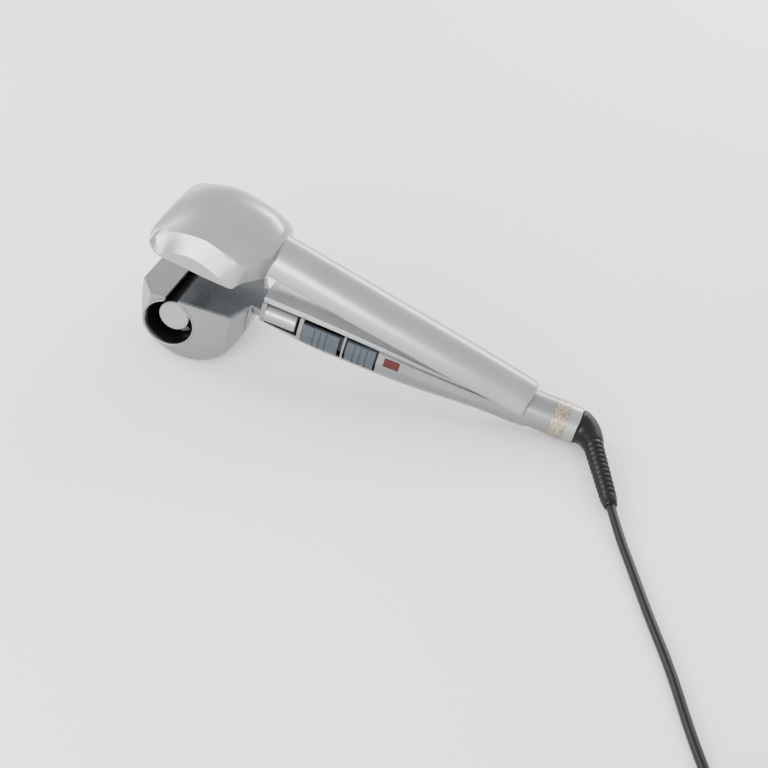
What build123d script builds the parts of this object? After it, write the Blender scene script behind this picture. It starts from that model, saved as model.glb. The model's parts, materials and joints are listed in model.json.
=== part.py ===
from build123d import *
import os
from math import asin, atan2, cos, degrees, hypot, pi, radians, sin, sqrt, tan

os.makedirs("parts", exist_ok=True)

# Automatic hair curler, millimetres.
#
# Everything is drawn in the tool frame: X runs from the head (-X) to the tail (+X), Y is across the
# tool and z = 0 is the plane where the two heads meet. The upper handle is drawn closed. save() then
# opens it about the hinge, leans the tool until it rests on its belly and its end ring, and moves
# the origin to the middle of the footprint.

# ---------------------------------------------------------------- driving dimensions
WALL = 2.0                # moulded casing walls
COVER_WALL = 1.5          # inner covers and thin liners
GAP = 0.3                 # clearance between separate bodies
FIT = 0.05                # radial running clearance of shafts and sliders
SEAT = 0.1                # clearance of a piece dropped into a pocket

HEAD_X = 6.0              # centre of the round head
HEAD_Z = -7.5
HEAD_R = 35.0             # radius of the lower head, seen from the side
HEAD_HALF = 35.2          # half width of the lower head
HEAD_EDGE = 7.0           # rounding of its rim
LID_HALF = 33.0           # half width of the upper head
LID_HEIGHT = 30.5         # crown of the upper head above the closing plane
LID_TAPER = 5.5           # how far its lower edge draws in
RAMP_DROP = 3.0           # fall of the nose ramp of each head
RAMP_LENGTH = 20.0

BELLY_FLAT = 0.25         # depth of the flat strip that the belly rests on

CHAMBER_X = -3.5          # axis of the curl chamber
CHAMBER_Z = -18.0
CHAMBER_R = 16.0
LINER_WALL = 1.0
SLOT_FRONT = -8.2         # strand slot across the lower head
SLOT_REAR = 0.0
BARREL_R = 9.8            # heated barrel
BARREL_WALL = 1.0
BARREL_NEAR = -25.5       # its free end
CAP_DEPTH = 1.6
HEATER_R = 8.6
HEATER_LENGTH = 38.0

GEAR_MODULE = 1.0
RING_TEETH = 28
IDLER_TEETH = 14
PINION_TEETH = 10
BACKLASH = 0.30           # at the pitch circle
GEAR_NEAR = 17.0          # the gears lie between these two planes
GEAR_WIDTH = 4.0
TRAIN_TURN = -8.0         # lean of the line from the ring to the pinion
HUB_R = 11.4              # boss that carries the ring gear
PLATE = 1.6               # gear bracket plates
FINGER_REACH = 37.2       # strand hook along the chamber
MOTOR_R = 8.6
MOTOR_LENGTH = 24.0
SHAFT_R = 1.0
IDLER_PIN_R = 1.5

HINGE_X = 201.6
HINGE_PIN_R = 2.0
HINGE_BLOCK_HALF = 5.5
EAR_THICK = 2.4
OPEN_ANGLE = 9.4          # handles apart, as it rests

SKIRT_HALF = 16.4         # half width of the upper handle at its lower edge
SKIRT_Z = 3.6             # lower edge of the upper handle, closed
SKIRT_WALL = 1.4
LID_ARM_END = 216.0
TAIL_START = 209.5
TAIL_R = 11.6             # tail tube
BAND_START = 232.5        # metal band
BAND_END = 242.0
TAIL_END = 249.0
BAND_PROUD = 0.25

SWITCH_TRAVEL_TIMER = 2.2
SWITCH_TRAVEL_HEAT = 1.1
TIMER_X = 74.0            # near end of the timer slide
TIMER_LENGTH = 24.0
HEAT_X = 103.2
HEAT_LENGTH = 18.6
LENS_X = 127.6
LENS_LENGTH = 9.8
BAR_X = 49.4              # side bar, behind the closed upper head
BAR_LENGTH = 20.0
BAR_R = 6.2
BAR_Z = -0.1
BAR_OUT = 16.0            # its outermost line, from the middle of the handle
KNOB_TOP = 4.6
KNOB_BOTTOM = -9.5
KNOB_THICK = 2.4
TRACK_BOTTOM = -5.8
STEM = 3.0

KNOB_PROUD = 0.2          # how far the slides stand out of the handle
GROOVE_PITCH = 4.0
GROOVE_WIDE = 1.0
GROOVE_DEEP = 0.6
STEM_REACH = 3.5
SWITCH_Y = 7.5            # slide switches stand this far off the centre line
SWITCH_WIDE = 5.0
SKIRT_LAP = 0.2           # the handle cover reaches this far below the rim

BRACKET_NEAR = GEAR_NEAR - GAP - PLATE
BRACKET_FAR = GEAR_NEAR + GEAR_WIDTH + GAP + 2.5
BRACKET_SCREWS = [(24.0, -5.0), (-23.0, -15.0), (2.5, -37.0)]     # x and z
BRACKET_BITE = 2.0        # how deep their screws go into the bosses
BOSS_R = 3.0
SCREW_R = 1.25
SCREW_HEAD_R = 2.4
SCREW_HEAD = 1.2
IDLER_SPREAD = 26.0       # first guess at the angle between the train line and an idler
FINGER_IN = 12.0
FINGER_OUT = 14.5
FINGER_TURN = -72.0
FINGER_SPAN = 26.0
HOOK_ROOT = 0.5           # depth of the hook's foot in the gear and in the blade
FUSE_R = 2.0
FUSE_LENGTH = 12.0
RAMP_DEPTH = 6.0          # thickness of the nose ramp piece at the slot

BOARD_NEAR = 72.0
BOARD_FAR = 158.0
BOARD_HALF = 10.5
BOARD_Z = -5.6
BOARD_THICK = 1.6
BOARD_POSTS = [(76.0, -7.0), (76.0, 7.0), (154.0, -7.0), (154.0, 7.0)]
BOARD_SCREW_BITE = 4.0
COVER_SCREWS = [54.0, 188.0]
BOSS_LIFT = 1.3           # the cover's bosses end this far above the curved floor
COVER_SCREW_BITE = 8.0
BUZZER_AT = (120.0, 4.0)
BUZZER_R = 5.5
BUZZER_HIGH = 5.0
BUZZER_HOLE_R = 1.2
PLUNGER_X = 146.0
PLUNGER_R = 1.0
PLUNGER_FOOT = -0.5
PLUNGER_PROUD = 0.6
CLOSING_SWITCH_HIGH = 6.0
LEAD_R = 1.0
LEAD_Y = 7.0
LEAD_Z = -4.6
CONTACT_X = 234.0
HINGE_PIN_HALF = 11.0
EAR_R = 3.2
YOKE_Z = 12.3
YOKE_THICK = 2.0
YOKE_BOSS = 6.5           # from the foot of the yoke to the top of its bosses
YOKE_SCREWS = [HINGE_X - 9.0, HINGE_X + 0.5]
LINER_CLEAR = 1.2
LINER_END = 192.0
PAD_LENGTH = 44.0
PAD_DEPTH = 2.4
SPRING_X = 176.0
SPRING_R = 3.2
SPRING_WIRE = 0.8
SPRING_PITCH = 2.7
SPRING_HOLE_R = 4.6
SPIGOT_R = TAIL_R - 1.0
SPIGOT_END = 244.0
FLANGE_THICK = 2.2
ELBOW_REACH = 7.5
ELBOW_R = 8.0
ELBOW_ARM = 12.0

BOOT_R = 10.9             # cord boot at the end ring
NECK_R = 7.9
RELIEF_R = 5.5            # ribbed strain relief, big end
RELIEF_TIP_R = 4.9
RELIEF_RIBS = 11
CORD_D = 5.5
COIL_MEAN_R = 30.0        # put-away coil at the middle of its turns
COIL_SIDE = 3.0           # turns across and turns up
RIB_DEEP = 0.7
RELIEF_TIP = (169.4, -55.9, 5.8)
CORD_POINTS = [(177.4, -74.4, 4.0), (189.0, -97.5, 2.8), (202.5, -127.0, 2.8), (219.0, -160.0, 2.8),
               (233.5, -196.0, 2.8), (249.0, -228.0, 2.8), (261.0, -258.0, 2.8)]
COIL_X = 293.0
COIL_Y = -245.0
TIE_ANGLE = radians(120)
TIE_WIDE = 8.0
TIE_THICK = 0.8
PLUG_TURN = radians(30)   # the plug lies where the last turn leaves the coil
PLUG_AT = (322.9, -268.7, 8.2)
PLUG_LENGTH = 27.0
BLADE_APART = 12.7
BLADE_LENGTH = 17.0

# Stations along the lower handle: x, half width, depth, rim half width, rim height, cover edge.
ARM_STATIONS = [
    (46.0, 14.2, 12.0, 13.6, 7.0, 10.6),
    (62.0, 14.8, 14.4, 13.8, 7.0, 10.6),
    (80.0, 15.0, 17.0, 13.9, 6.8, 10.2),
    (105.0, 15.0, 17.5, 13.9, 6.0, 9.2),
    (135.0, 14.8, 17.0, 13.7, 4.6, 7.2),
    (170.0, 13.4, 14.6, 12.6, 2.9, 4.6),
    (196.0, 12.2, 13.0, 11.8, 2.2, 3.4),
    (221.0, 11.6, 11.6, 11.5, 1.2, 2.4),
]
WIDEST_Z = -2.0           # height at which the lower handle is widest
COVER_CROWN = 1.8
COVER_END = 6             # the arm cover stops at this station

# ---------------------------------------------------------------- rest placement
arm_run = TAIL_END - HEAD_X
arm_rise = HEAD_Z + TAIL_R
belly = HEAD_R - BELLY_FLAT
LEAN = degrees(asin(belly / hypot(arm_run, arm_rise)) - atan2(arm_rise, arm_run))
rest_height = TAIL_END * sin(radians(LEAN)) + TAIL_R * cos(radians(LEAN))
FOOTPRINT_MIDDLE = 109.2  # middle of the tool's length, measured on the surface

OPEN = Pos(HINGE_X, 0, 0) * Rot(0, OPEN_ANGLE, 0) * Pos(-HINGE_X, 0, 0)
REST = Pos(-FOOTPRINT_MIDDLE, 0, rest_height) * Rot(0, LEAN, 0)
SIDE = Plane.XZ           # looking along +Y: local x is X, local y is Z


def save(piece, node, moved=False):
    """Name a finished piece, bring it to rest and write it; moved pieces belong to the upper handle."""
    piece.part.label = node
    piece.part.move(REST * OPEN if moved else REST)
    export_step(piece.part, f"parts/{node}.step")


def save_placed(piece, node):
    """Name and write a piece that is already drawn where it rests."""
    piece.part.label = node
    export_step(piece.part, f"parts/{node}.step")


# ---------------------------------------------------------------- shared forms
def head_plan(shrink):
    """Outline of the lower head from above, drawn in by shrink."""
    with BuildSketch() as plan:
        with BuildLine():
            Polyline(
                (-40, 20), (-29.5, 20), (-17.5, HEAD_HALF + 0.6), (0, HEAD_HALF + 0.1), (33, 31), (39, 15),
                (50, 15), (50, -15), (39, -15), (33, -31), (0, -HEAD_HALF - 0.1), (-17.5, -HEAD_HALF - 0.6),
                (-29.5, -20), (-40, -20), close=True,
            )
        make_face()
        if shrink:
            offset(amount=-shrink, mode=Mode.REPLACE)
    return plan.sketch


def head_form(shrink, top):
    """Lower head as a solid, its walls drawn in by shrink and cut level at height top."""
    centre = Plane((HEAD_X, 0, HEAD_Z))
    with BuildPart() as form:
        with BuildSketch(centre) as profile:
            Rectangle(HEAD_R - shrink, 2 * (HEAD_HALF - shrink), align=(Align.MIN, Align.CENTER))
            fillet(profile.vertices().group_by(Axis.X)[-1], HEAD_EDGE - shrink)
        revolve(axis=Axis((HEAD_X, 0, HEAD_Z), (0, 1, 0)))
        with BuildSketch(Plane.XY.offset(-60)):
            add(head_plan(shrink))
        extrude(amount=60 + top, mode=Mode.INTERSECT)
    return form.part


def arm_section(station, grow, rise):
    """Trough section of the lower handle; grow moves its walls out, rise lifts its open top."""
    x, half, depth, rim_half, rim_z, _ = station
    with BuildSketch(Plane.YZ.offset(x)) as section:
        with BuildLine():
            Line((-rim_half - grow, rim_z), (-half - grow, WIDEST_Z))
            EllipticalCenterArc((0, WIDEST_Z), half + grow, depth + WIDEST_Z + grow, 180, arc_size=180)
            Line((half + grow, WIDEST_Z), (rim_half + grow, rim_z))
            Polyline((rim_half + grow, rim_z), (rim_half + grow, rim_z + rise),
                     (-rim_half - grow, rim_z + rise), (-rim_half - grow, rim_z))
        make_face()
    return section.sketch


def along_arm(x, column):
    """Value of one column of the arm stations at x, by straight lines between the stations."""
    for near, far in zip(ARM_STATIONS, ARM_STATIONS[1:]):
        if x <= far[0]:
            break
    share = (x - near[0]) / (far[0] - near[0])
    return near[column] + share * (far[column] - near[column])


def arm_floor(x):
    """Height of the inside floor of the lower handle."""
    return WALL - along_arm(x, 2)


def cover_top(x):
    """Height of the crown of the handle cover."""
    return along_arm(x, 5) + COVER_CROWN


def post_in_arm(x, y, top):
    """Post from the handle's floor up to top."""
    with BuildPart() as post:
        with BuildSketch(Plane.XY.offset(top)):
            with Locations((x, y)):
                Circle(BOSS_R)
        extrude(amount=-20)
        loft([arm_section(station, -WALL / 2, 4) for station in ARM_STATIONS], mode=Mode.INTERSECT)
        with BuildSketch(Plane.XY.offset(top)):
            with Locations((x, y)):
                Circle(SCREW_R)
        extrude(amount=-BOARD_SCREW_BITE - 1, mode=Mode.SUBTRACT)
    return post.part


def arm_skin(outer, inner, low, high, near_x, far_x, bottom, top):
    """A piece of the near wall of the lower handle, between two offsets of its surface."""
    picked = [station for station in ARM_STATIONS if low <= station[0] <= high]
    with BuildPart() as skin:
        loft([arm_section(station, outer, 8) for station in picked])
        loft([arm_section(station, inner, 9) for station in picked], mode=Mode.SUBTRACT)
        with Locations(((near_x + far_x) / 2, -12, (bottom + top) / 2)):
            Box(far_x - near_x, 16, top - bottom, mode=Mode.INTERSECT)
    return skin.part


def along_y(radius, x, z, near, far):
    """A plain cylinder along Y, for bores and bosses."""
    with BuildPart() as bar:
        with BuildSketch(Plane((x, near, z), x_dir=(1, 0, 0), z_dir=(0, 1, 0))):
            Circle(radius)
        extrude(amount=far - near)
    return bar.part


def along_z(radius, low, high, x=0.0, y=0.0):
    """A plain upright cylinder, for screws, bosses and pins."""
    with BuildPart() as bar:
        with BuildSketch(Plane.XY.offset(low)):
            with Locations((x, y)):
                Circle(radius)
        extrude(amount=high - low)
    return bar.part


def block(x, y, z):
    """A plain box between three pairs of limits."""
    with BuildPart() as box:
        with BuildSketch(Plane.XY.offset(z[0])):
            with Locations(((x[0] + x[1]) / 2, (y[0] + y[1]) / 2)):
                Rectangle(x[1] - x[0], y[1] - y[0])
        extrude(amount=z[1] - z[0])
    return box.part


def along_x(radius, near, far, y=0.0, z=0.0):
    """A plain cylinder along X, for the tail and its pieces."""
    with BuildPart() as bar:
        with BuildSketch(Plane.YZ.offset(near)):
            with Locations((y, z)):
                Circle(radius)
        extrude(amount=far - near)
    return bar.part


# ---------------------------------------------------------------- lower shell
arm_outer = [arm_section(station, 0, 0.01) for station in ARM_STATIONS]
arm_inner = [arm_section(station, -WALL, 4) for station in ARM_STATIONS[:7]]
nose_angle = degrees(atan2(RAMP_DROP, RAMP_LENGTH))
ramp_cut = Pos(SLOT_FRONT, 0, 0) * Rot(0, -nose_angle, 0) * Box(
    60, 90, 20, align=(Align.MAX, Align.CENTER, Align.MIN))
window_top = ARM_STATIONS[0][4]
floor_cut = REST.inverse() * Pos(0, 0, -50) * Box(400, 200, 100)

with BuildPart() as lower_shell:
    add(head_form(0, 0))
    with BuildSketch(Plane.YZ.offset(30)):
        with BuildLine():
            EllipticalCenterArc((0, 0), 12.6, 10.0, 180, arc_size=180)
            Line((-12.6, 0), (12.6, 0))
        make_face()
    extrude(amount=ARM_STATIONS[0][0] - 30 + 1)
    loft(arm_outer)
    add(along_x(TAIL_R, TAIL_START, BAND_START))
    add(head_form(WALL, 2), mode=Mode.SUBTRACT)
    with BuildSketch(Plane.YZ.offset(26)):
        with BuildLine():
            EllipticalCenterArc((0, 0), 12.6 - WALL, 10.0 - WALL, 180, arc_size=180)
            Polyline((12.6 - WALL, 0), (12.6 - WALL, 4), (WALL - 12.6, 4), (WALL - 12.6, 0))
        make_face()
    extrude(amount=ARM_STATIONS[0][0] - 26, mode=Mode.SUBTRACT)
    loft(arm_inner, mode=Mode.SUBTRACT)
    add(along_x(TAIL_R - WALL, TAIL_START - 14, BAND_START + 1), mode=Mode.SUBTRACT)
    # strand slot, curl mouth and nose ramp
    with Locations(((SLOT_FRONT + SLOT_REAR) / 2, 0, CHAMBER_Z + 14)):
        Box(SLOT_REAR - SLOT_FRONT, 90, 14, align=(Align.CENTER, Align.CENTER, Align.MIN), mode=Mode.SUBTRACT)
    with Locations(((SLOT_FRONT + SLOT_REAR) / 2, 36 + CHAMBER_X, -4)):
        Box(SLOT_REAR - SLOT_FRONT, 12, 9, mode=Mode.SUBTRACT)
    add(along_y(CHAMBER_R, CHAMBER_X, CHAMBER_Z, -40, -20), mode=Mode.SUBTRACT)
    add(ramp_cut, mode=Mode.SUBTRACT)
    # windows for the side bar, the two slides and the lens
    for near_x, length, bottom, top in (
        (BAR_X - 0.4, BAR_LENGTH + 2.2, -BAR_R - 0.3, window_top),
        (TIMER_X - GAP, TIMER_LENGTH + SWITCH_TRAVEL_TIMER + 2 * GAP, KNOB_BOTTOM - GAP, window_top),
        (HEAT_X - SWITCH_TRAVEL_HEAT - GAP, HEAT_LENGTH + 2 * (SWITCH_TRAVEL_HEAT + GAP),
         KNOB_BOTTOM - GAP, window_top),
        (LENS_X - SEAT, LENS_LENGTH + 2 * SEAT, -2.0 - SEAT, 3.6 + SEAT),
    ):
        with Locations((near_x + length / 2, -14, (bottom + top) / 2)):
            Box(length, 12, top - bottom + (0.5 if top == window_top else 0), mode=Mode.SUBTRACT)
    # bore for the hinge pin, tail spigot, board posts, gear bracket bosses and screw holes
    add(along_y(HINGE_PIN_R, HINGE_X, 0, -HINGE_PIN_HALF - SEAT, HINGE_PIN_HALF + SEAT), mode=Mode.SUBTRACT)
    add(along_x(SPIGOT_R, BAND_START - 1, SPIGOT_END))
    add(along_x(TAIL_R - WALL, BAND_START - 2, SPIGOT_END + 1), mode=Mode.SUBTRACT)
    for x, y in BOARD_POSTS:
        add(post_in_arm(x, y, BOARD_Z))
    for x, z in BRACKET_SCREWS:
        add(along_y(BOSS_R, x, z, BRACKET_FAR, HEAD_HALF - 1.2) & head_form(1, 2))
        add(along_y(SCREW_R, x, z, BRACKET_FAR - 3, BRACKET_FAR + BRACKET_BITE + GAP), mode=Mode.SUBTRACT)
    for x in COVER_SCREWS:
        add(along_z(SCREW_R, -30, arm_floor(x) + 3, x), mode=Mode.SUBTRACT)
        add(along_z(SCREW_HEAD_R, -30, arm_floor(x) - WALL + SCREW_HEAD, x), mode=Mode.SUBTRACT)
    add(floor_cut, mode=Mode.SUBTRACT)
save(lower_shell, "lower_shell")

# ---------------------------------------------------------------- covers of the lower half
deck_area = (SLOT_REAR, ARM_STATIONS[0][0] - SEAT)
with BuildPart() as head_deck:
    add(head_form(WALL + SEAT, 0))
    with Locations((38, 0, 0)):
        Box(14, 2 * (12.6 - WALL - GAP), 2 * COVER_WALL)
    with Locations(((deck_area[0] + deck_area[1]) / 2, 0, -COVER_WALL / 2)):
        Box(deck_area[1] - deck_area[0], 90, COVER_WALL, mode=Mode.INTERSECT)
save(head_deck, "head_deck")

with BuildPart() as nose_ramp:
    add(head_form(WALL + SEAT, 0))
    with Locations((SLOT_FRONT, 0, 0)):
        Box(60, 90, 2 * RAMP_DEPTH, align=(Align.MAX, Align.CENTER, Align.CENTER), mode=Mode.INTERSECT)
    add(along_y(CHAMBER_R + LINER_WALL + SEAT, CHAMBER_X, CHAMBER_Z, -45, 45), mode=Mode.SUBTRACT)
    add(ramp_cut, mode=Mode.SUBTRACT)
save(nose_ramp, "nose_ramp")


def cover_section(station, shrink, drop):
    """Crowned section of the cover over the lower handle."""
    x, _, _, rim_half, rim_z, edge_z = station
    half = rim_half - WALL - SEAT - shrink
    with BuildSketch(Plane.YZ.offset(x)) as section:
        with BuildLine():
            Line((-half, rim_z - SKIRT_LAP - drop), (-half, edge_z - shrink))
            ThreePointArc((-half, edge_z - shrink), (0, edge_z + COVER_CROWN - shrink), (half, edge_z - shrink))
            Polyline((half, edge_z - shrink), (half, rim_z - SKIRT_LAP - drop), (-half, rim_z - SKIRT_LAP - drop))
        make_face()
    return section.sketch


with BuildPart() as arm_cover:
    covered = ARM_STATIONS[:COVER_END + 1]
    loft([cover_section(station, 0, 0) for station in covered])
    loft([cover_section(station, COVER_WALL, 1) for station in covered], mode=Mode.SUBTRACT)
    near_face = cover_section(ARM_STATIONS[0], 0, 0)
    extrude(near_face, amount=COVER_WALL, dir=(1, 0, 0))
    for x in COVER_SCREWS:
        add(along_z(BOSS_R, arm_floor(x) + BOSS_LIFT, cover_top(x) - 1, x))
        add(along_z(SCREW_R, arm_floor(x) - 1, arm_floor(x) + COVER_SCREW_BITE, x), mode=Mode.SUBTRACT)
    add(along_z(PLUNGER_R + FIT, -20, 20, PLUNGER_X), mode=Mode.SUBTRACT)
    add(along_z(SPRING_HOLE_R, -20, 20, SPRING_X), mode=Mode.SUBTRACT)
save(arm_cover, "arm_cover")

# ---------------------------------------------------------------- curl chamber
slot_box = Box(SLOT_REAR - SLOT_FRONT, 100, 40, align=(Align.MIN, Align.CENTER, Align.MIN))
with BuildPart() as chamber_liner:
    add(along_y(CHAMBER_R + LINER_WALL, CHAMBER_X, CHAMBER_Z, -HEAD_HALF + WALL + SEAT, BRACKET_NEAR))
    add(along_y(CHAMBER_R, CHAMBER_X, CHAMBER_Z, -40, 40), mode=Mode.SUBTRACT)
    add(Pos(SLOT_FRONT, 0, CHAMBER_Z) * slot_box, mode=Mode.SUBTRACT)
    add(block((-60, 60), (-50, 50), (-COVER_WALL - SEAT, 10)), mode=Mode.SUBTRACT)
    add(head_form(WALL + SEAT, 0), mode=Mode.INTERSECT)
save(chamber_liner, "chamber_liner")

with BuildPart() as heated_barrel:
    add(along_y(BARREL_R, CHAMBER_X, CHAMBER_Z, BARREL_NEAR, BRACKET_FAR))
    add(along_y(BARREL_R - BARREL_WALL, CHAMBER_X, CHAMBER_Z, -60, 60), mode=Mode.SUBTRACT)
save(heated_barrel, "heated_barrel")

with BuildPart() as barrel_cap:
    add(along_y(BARREL_R, CHAMBER_X, CHAMBER_Z, BARREL_NEAR - CAP_DEPTH, BARREL_NEAR))
    add(along_y(BARREL_R - BARREL_WALL - SEAT, CHAMBER_X, CHAMBER_Z, BARREL_NEAR - 1, BARREL_NEAR + 3))
    chamfer(barrel_cap.edges().group_by(Axis.Y)[0], 0.5)
save(barrel_cap, "barrel_cap")

heater_near = BRACKET_FAR - HEATER_LENGTH
heater_bore = HEATER_R - 1.5
with BuildPart() as heater_core:
    add(along_y(HEATER_R, CHAMBER_X, CHAMBER_Z, heater_near, BRACKET_FAR - 1))
    add(along_y(heater_bore, CHAMBER_X, CHAMBER_Z, -60, 60), mode=Mode.SUBTRACT)
save(heater_core, "heater_core")

with BuildPart() as thermal_fuse:
    add(along_y(FUSE_R, CHAMBER_X, CHAMBER_Z - heater_bore + FUSE_R + SEAT, 0, FUSE_LENGTH))
save(thermal_fuse, "thermal_fuse")


# ---------------------------------------------------------------- gear train
def pitch_radius(teeth):
    """Pitch radius of a gear."""
    return GEAR_MODULE * teeth / 2


reach_ring = pitch_radius(RING_TEETH) + pitch_radius(IDLER_TEETH)
reach_pinion = pitch_radius(IDLER_TEETH) + pitch_radius(PINION_TEETH)


def train_phase(spread):
    """Tooth phase, in degrees, gained round the loop of ring, idler and pinion."""
    inner = degrees(asin(reach_ring * sin(radians(spread)) / reach_pinion))
    return (IDLER_TEETH + PINION_TEETH) * inner + (RING_TEETH + IDLER_TEETH) * spread


def idlers_in_step(spread):
    """Spread nearest the given one at which both idlers mesh with the same pinion teeth."""
    wanted = 180 * round(train_phase(spread) / 180)
    for _ in range(40):
        slope = (train_phase(spread + 0.01) - train_phase(spread)) / 0.01
        spread += (wanted - train_phase(spread)) / slope
    return spread


SPREAD = idlers_in_step(IDLER_SPREAD)


def from_chamber(distance, angle):
    """Point at a distance and angle from the chamber axis, in the side view."""
    return CHAMBER_X + distance * cos(radians(angle)), CHAMBER_Z + distance * sin(radians(angle))


def meshing_turn(teeth, turn, angle, other_teeth):
    """Turn of the other gear that puts its gap on this gear's tooth, along the line at angle."""
    return (teeth * (angle - turn) + other_teeth * (angle + 180) - 180) / other_teeth


def gear_blank(teeth, turn, centre):
    """Straight-flanked gear on the side plane; turn is the direction of one tooth."""
    pitch = pitch_radius(teeth)
    half = 90 / teeth - degrees(BACKLASH / 4 / pitch)
    tip, root = pitch + 0.95 * GEAR_MODULE, pitch - 1.2 * GEAR_MODULE
    tip_half = half - degrees(0.95 * GEAR_MODULE * tan(radians(20)) / pitch)
    root_half = half + degrees(1.2 * GEAR_MODULE * tan(radians(20)) / pitch)
    points = []
    for tooth in range(teeth):
        middle = turn + 360 * tooth / teeth
        for radius, lean in ((root, -root_half), (tip, -tip_half), (tip, tip_half), (root, root_half)):
            angle = radians(middle + lean)
            points.append((centre[0] + radius * cos(angle), centre[1] + radius * sin(angle)))
    with BuildSketch(SIDE.offset(-GEAR_NEAR)) as blank:
        with BuildLine():
            Polyline(*points, close=True)
        make_face()
    return blank.sketch


upper_angle = TRAIN_TURN + SPREAD
lower_angle = TRAIN_TURN - SPREAD
idler_centres = {"upper_idler": from_chamber(reach_ring, upper_angle),
                 "lower_idler": from_chamber(reach_ring, lower_angle)}
half_gap = reach_ring * sin(radians(SPREAD))
pinion_centre = from_chamber(reach_ring * cos(radians(SPREAD)) + sqrt(reach_pinion ** 2 - half_gap ** 2), TRAIN_TURN)
idler_turns = {"upper_idler": meshing_turn(RING_TEETH, TRAIN_TURN, upper_angle, IDLER_TEETH),
               "lower_idler": meshing_turn(RING_TEETH, TRAIN_TURN, lower_angle, IDLER_TEETH)}
to_pinion = TRAIN_TURN - degrees(asin(half_gap / reach_pinion))
pinion_turn = meshing_turn(IDLER_TEETH, idler_turns["upper_idler"], to_pinion, PINION_TEETH)

def hook_blade(outer, far_y, reach):
    """Curved blade along the chamber, drawn at far_y and reaching to the near side."""
    with BuildPart() as blade:
        with BuildSketch(SIDE.offset(-far_y)):
            with BuildLine():
                for radius in (FINGER_IN, outer):
                    CenterArc((CHAMBER_X, CHAMBER_Z), radius, FINGER_TURN, FINGER_SPAN)
                for angle in (FINGER_TURN, FINGER_TURN + FINGER_SPAN):
                    Line(from_chamber(FINGER_IN, angle), from_chamber(outer, angle))
            make_face()
        extrude(amount=reach)
    return blade.part


# the hook's foot stays inside the roots of the teeth, so that the idlers pass behind the blade
hook_foot_r = pitch_radius(RING_TEETH) - 1.25 * GEAR_MODULE

with BuildPart() as rotor_ring:
    extrude(gear_blank(RING_TEETH, TRAIN_TURN, (CHAMBER_X, CHAMBER_Z)), amount=-GEAR_WIDTH)
    add(along_y(HUB_R + FIT, CHAMBER_X, CHAMBER_Z, 0, 60), mode=Mode.SUBTRACT)
    add(Pos(SLOT_FRONT, 0, CHAMBER_Z) * slot_box, mode=Mode.SUBTRACT)
    add(hook_blade(FINGER_OUT, GEAR_NEAR - GAP, FINGER_REACH))
    add(hook_blade(hook_foot_r, GEAR_NEAR + HOOK_ROOT, GAP + 2 * HOOK_ROOT))
save(rotor_ring, "rotor_ring")

for node, centre in idler_centres.items():
    with BuildPart() as idler:
        extrude(gear_blank(IDLER_TEETH, idler_turns[node], centre), amount=-GEAR_WIDTH)
        add(along_y(IDLER_PIN_R + FIT, centre[0], centre[1], 0, 60), mode=Mode.SUBTRACT)
    save(idler, node)

with BuildPart() as idler_pins:
    for centre in idler_centres.values():
        add(along_y(IDLER_PIN_R, centre[0], centre[1], BRACKET_NEAR, BRACKET_FAR))
save(idler_pins, "idler_pins")

with BuildPart() as motor_pinion:
    extrude(gear_blank(PINION_TEETH, pinion_turn, pinion_centre), amount=-GEAR_WIDTH)
    add(along_y(SHAFT_R, pinion_centre[0], pinion_centre[1], BRACKET_NEAR - MOTOR_LENGTH / 2, GEAR_NEAR + 1))
save(motor_pinion, "motor_pinion")

with BuildPart() as drive_motor:
    add(along_y(MOTOR_R, pinion_centre[0], pinion_centre[1], BRACKET_NEAR - MOTOR_LENGTH, BRACKET_NEAR))
    chamfer(drive_motor.edges().group_by(Axis.Y)[0], 1.0)
    add(along_y(SHAFT_R + FIT, pinion_centre[0], pinion_centre[1], BRACKET_NEAR - MOTOR_LENGTH / 2 - 1, 60),
        mode=Mode.SUBTRACT)
save(drive_motor, "drive_motor")


def bracket_plate(near, far):
    """Plate across the head, inside its walls, with the holes that both gear brackets share."""
    with BuildPart() as plate:
        add(head_form(WALL + SEAT, -COVER_WALL - SEAT))
        with Locations((0, (near + far) / 2, 0)):
            Box(200, far - near, 200, mode=Mode.INTERSECT)
        add(Pos(SLOT_FRONT, 0, CHAMBER_Z + BARREL_R + 1) * slot_box, mode=Mode.SUBTRACT)
        add(block((34, 90), (-45, 45), (-30, 30)), mode=Mode.SUBTRACT)
        add(block((-60, SLOT_REAR), (-45, 45), (-RAMP_DEPTH - SEAT, 10)), mode=Mode.SUBTRACT)
        for x, z in idler_centres.values():
            add(along_y(IDLER_PIN_R, x, z, 0, 60), mode=Mode.SUBTRACT)
        for x, z in BRACKET_SCREWS:
            add(along_y(SCREW_R, x, z, 0, 60), mode=Mode.SUBTRACT)
    return plate.part


with BuildPart() as motor_bracket:
    add(bracket_plate(BRACKET_NEAR, BRACKET_NEAR + PLATE))
    add(along_y(CHAMBER_R, CHAMBER_X, CHAMBER_Z, 0, 60), mode=Mode.SUBTRACT)
    add(along_y(SHAFT_R + 0.4, pinion_centre[0], pinion_centre[1], 0, 60), mode=Mode.SUBTRACT)
save(motor_bracket, "motor_bracket")

with BuildPart() as barrel_bracket:
    add(bracket_plate(GEAR_NEAR + GEAR_WIDTH + GAP, BRACKET_FAR))
    add(along_y(HUB_R, CHAMBER_X, CHAMBER_Z, GEAR_NEAR, BRACKET_FAR))
    add(along_y(BARREL_R, CHAMBER_X, CHAMBER_Z, 0, 60), mode=Mode.SUBTRACT)
save(barrel_bracket, "barrel_bracket")

with BuildPart() as bracket_screws:
    for x, z in BRACKET_SCREWS:
        add(along_y(SCREW_R, x, z, BRACKET_NEAR, BRACKET_FAR + BRACKET_BITE))
        add(along_y(SCREW_HEAD_R, x, z, BRACKET_NEAR - SCREW_HEAD, BRACKET_NEAR))
save(bracket_screws, "bracket_screws")

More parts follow.
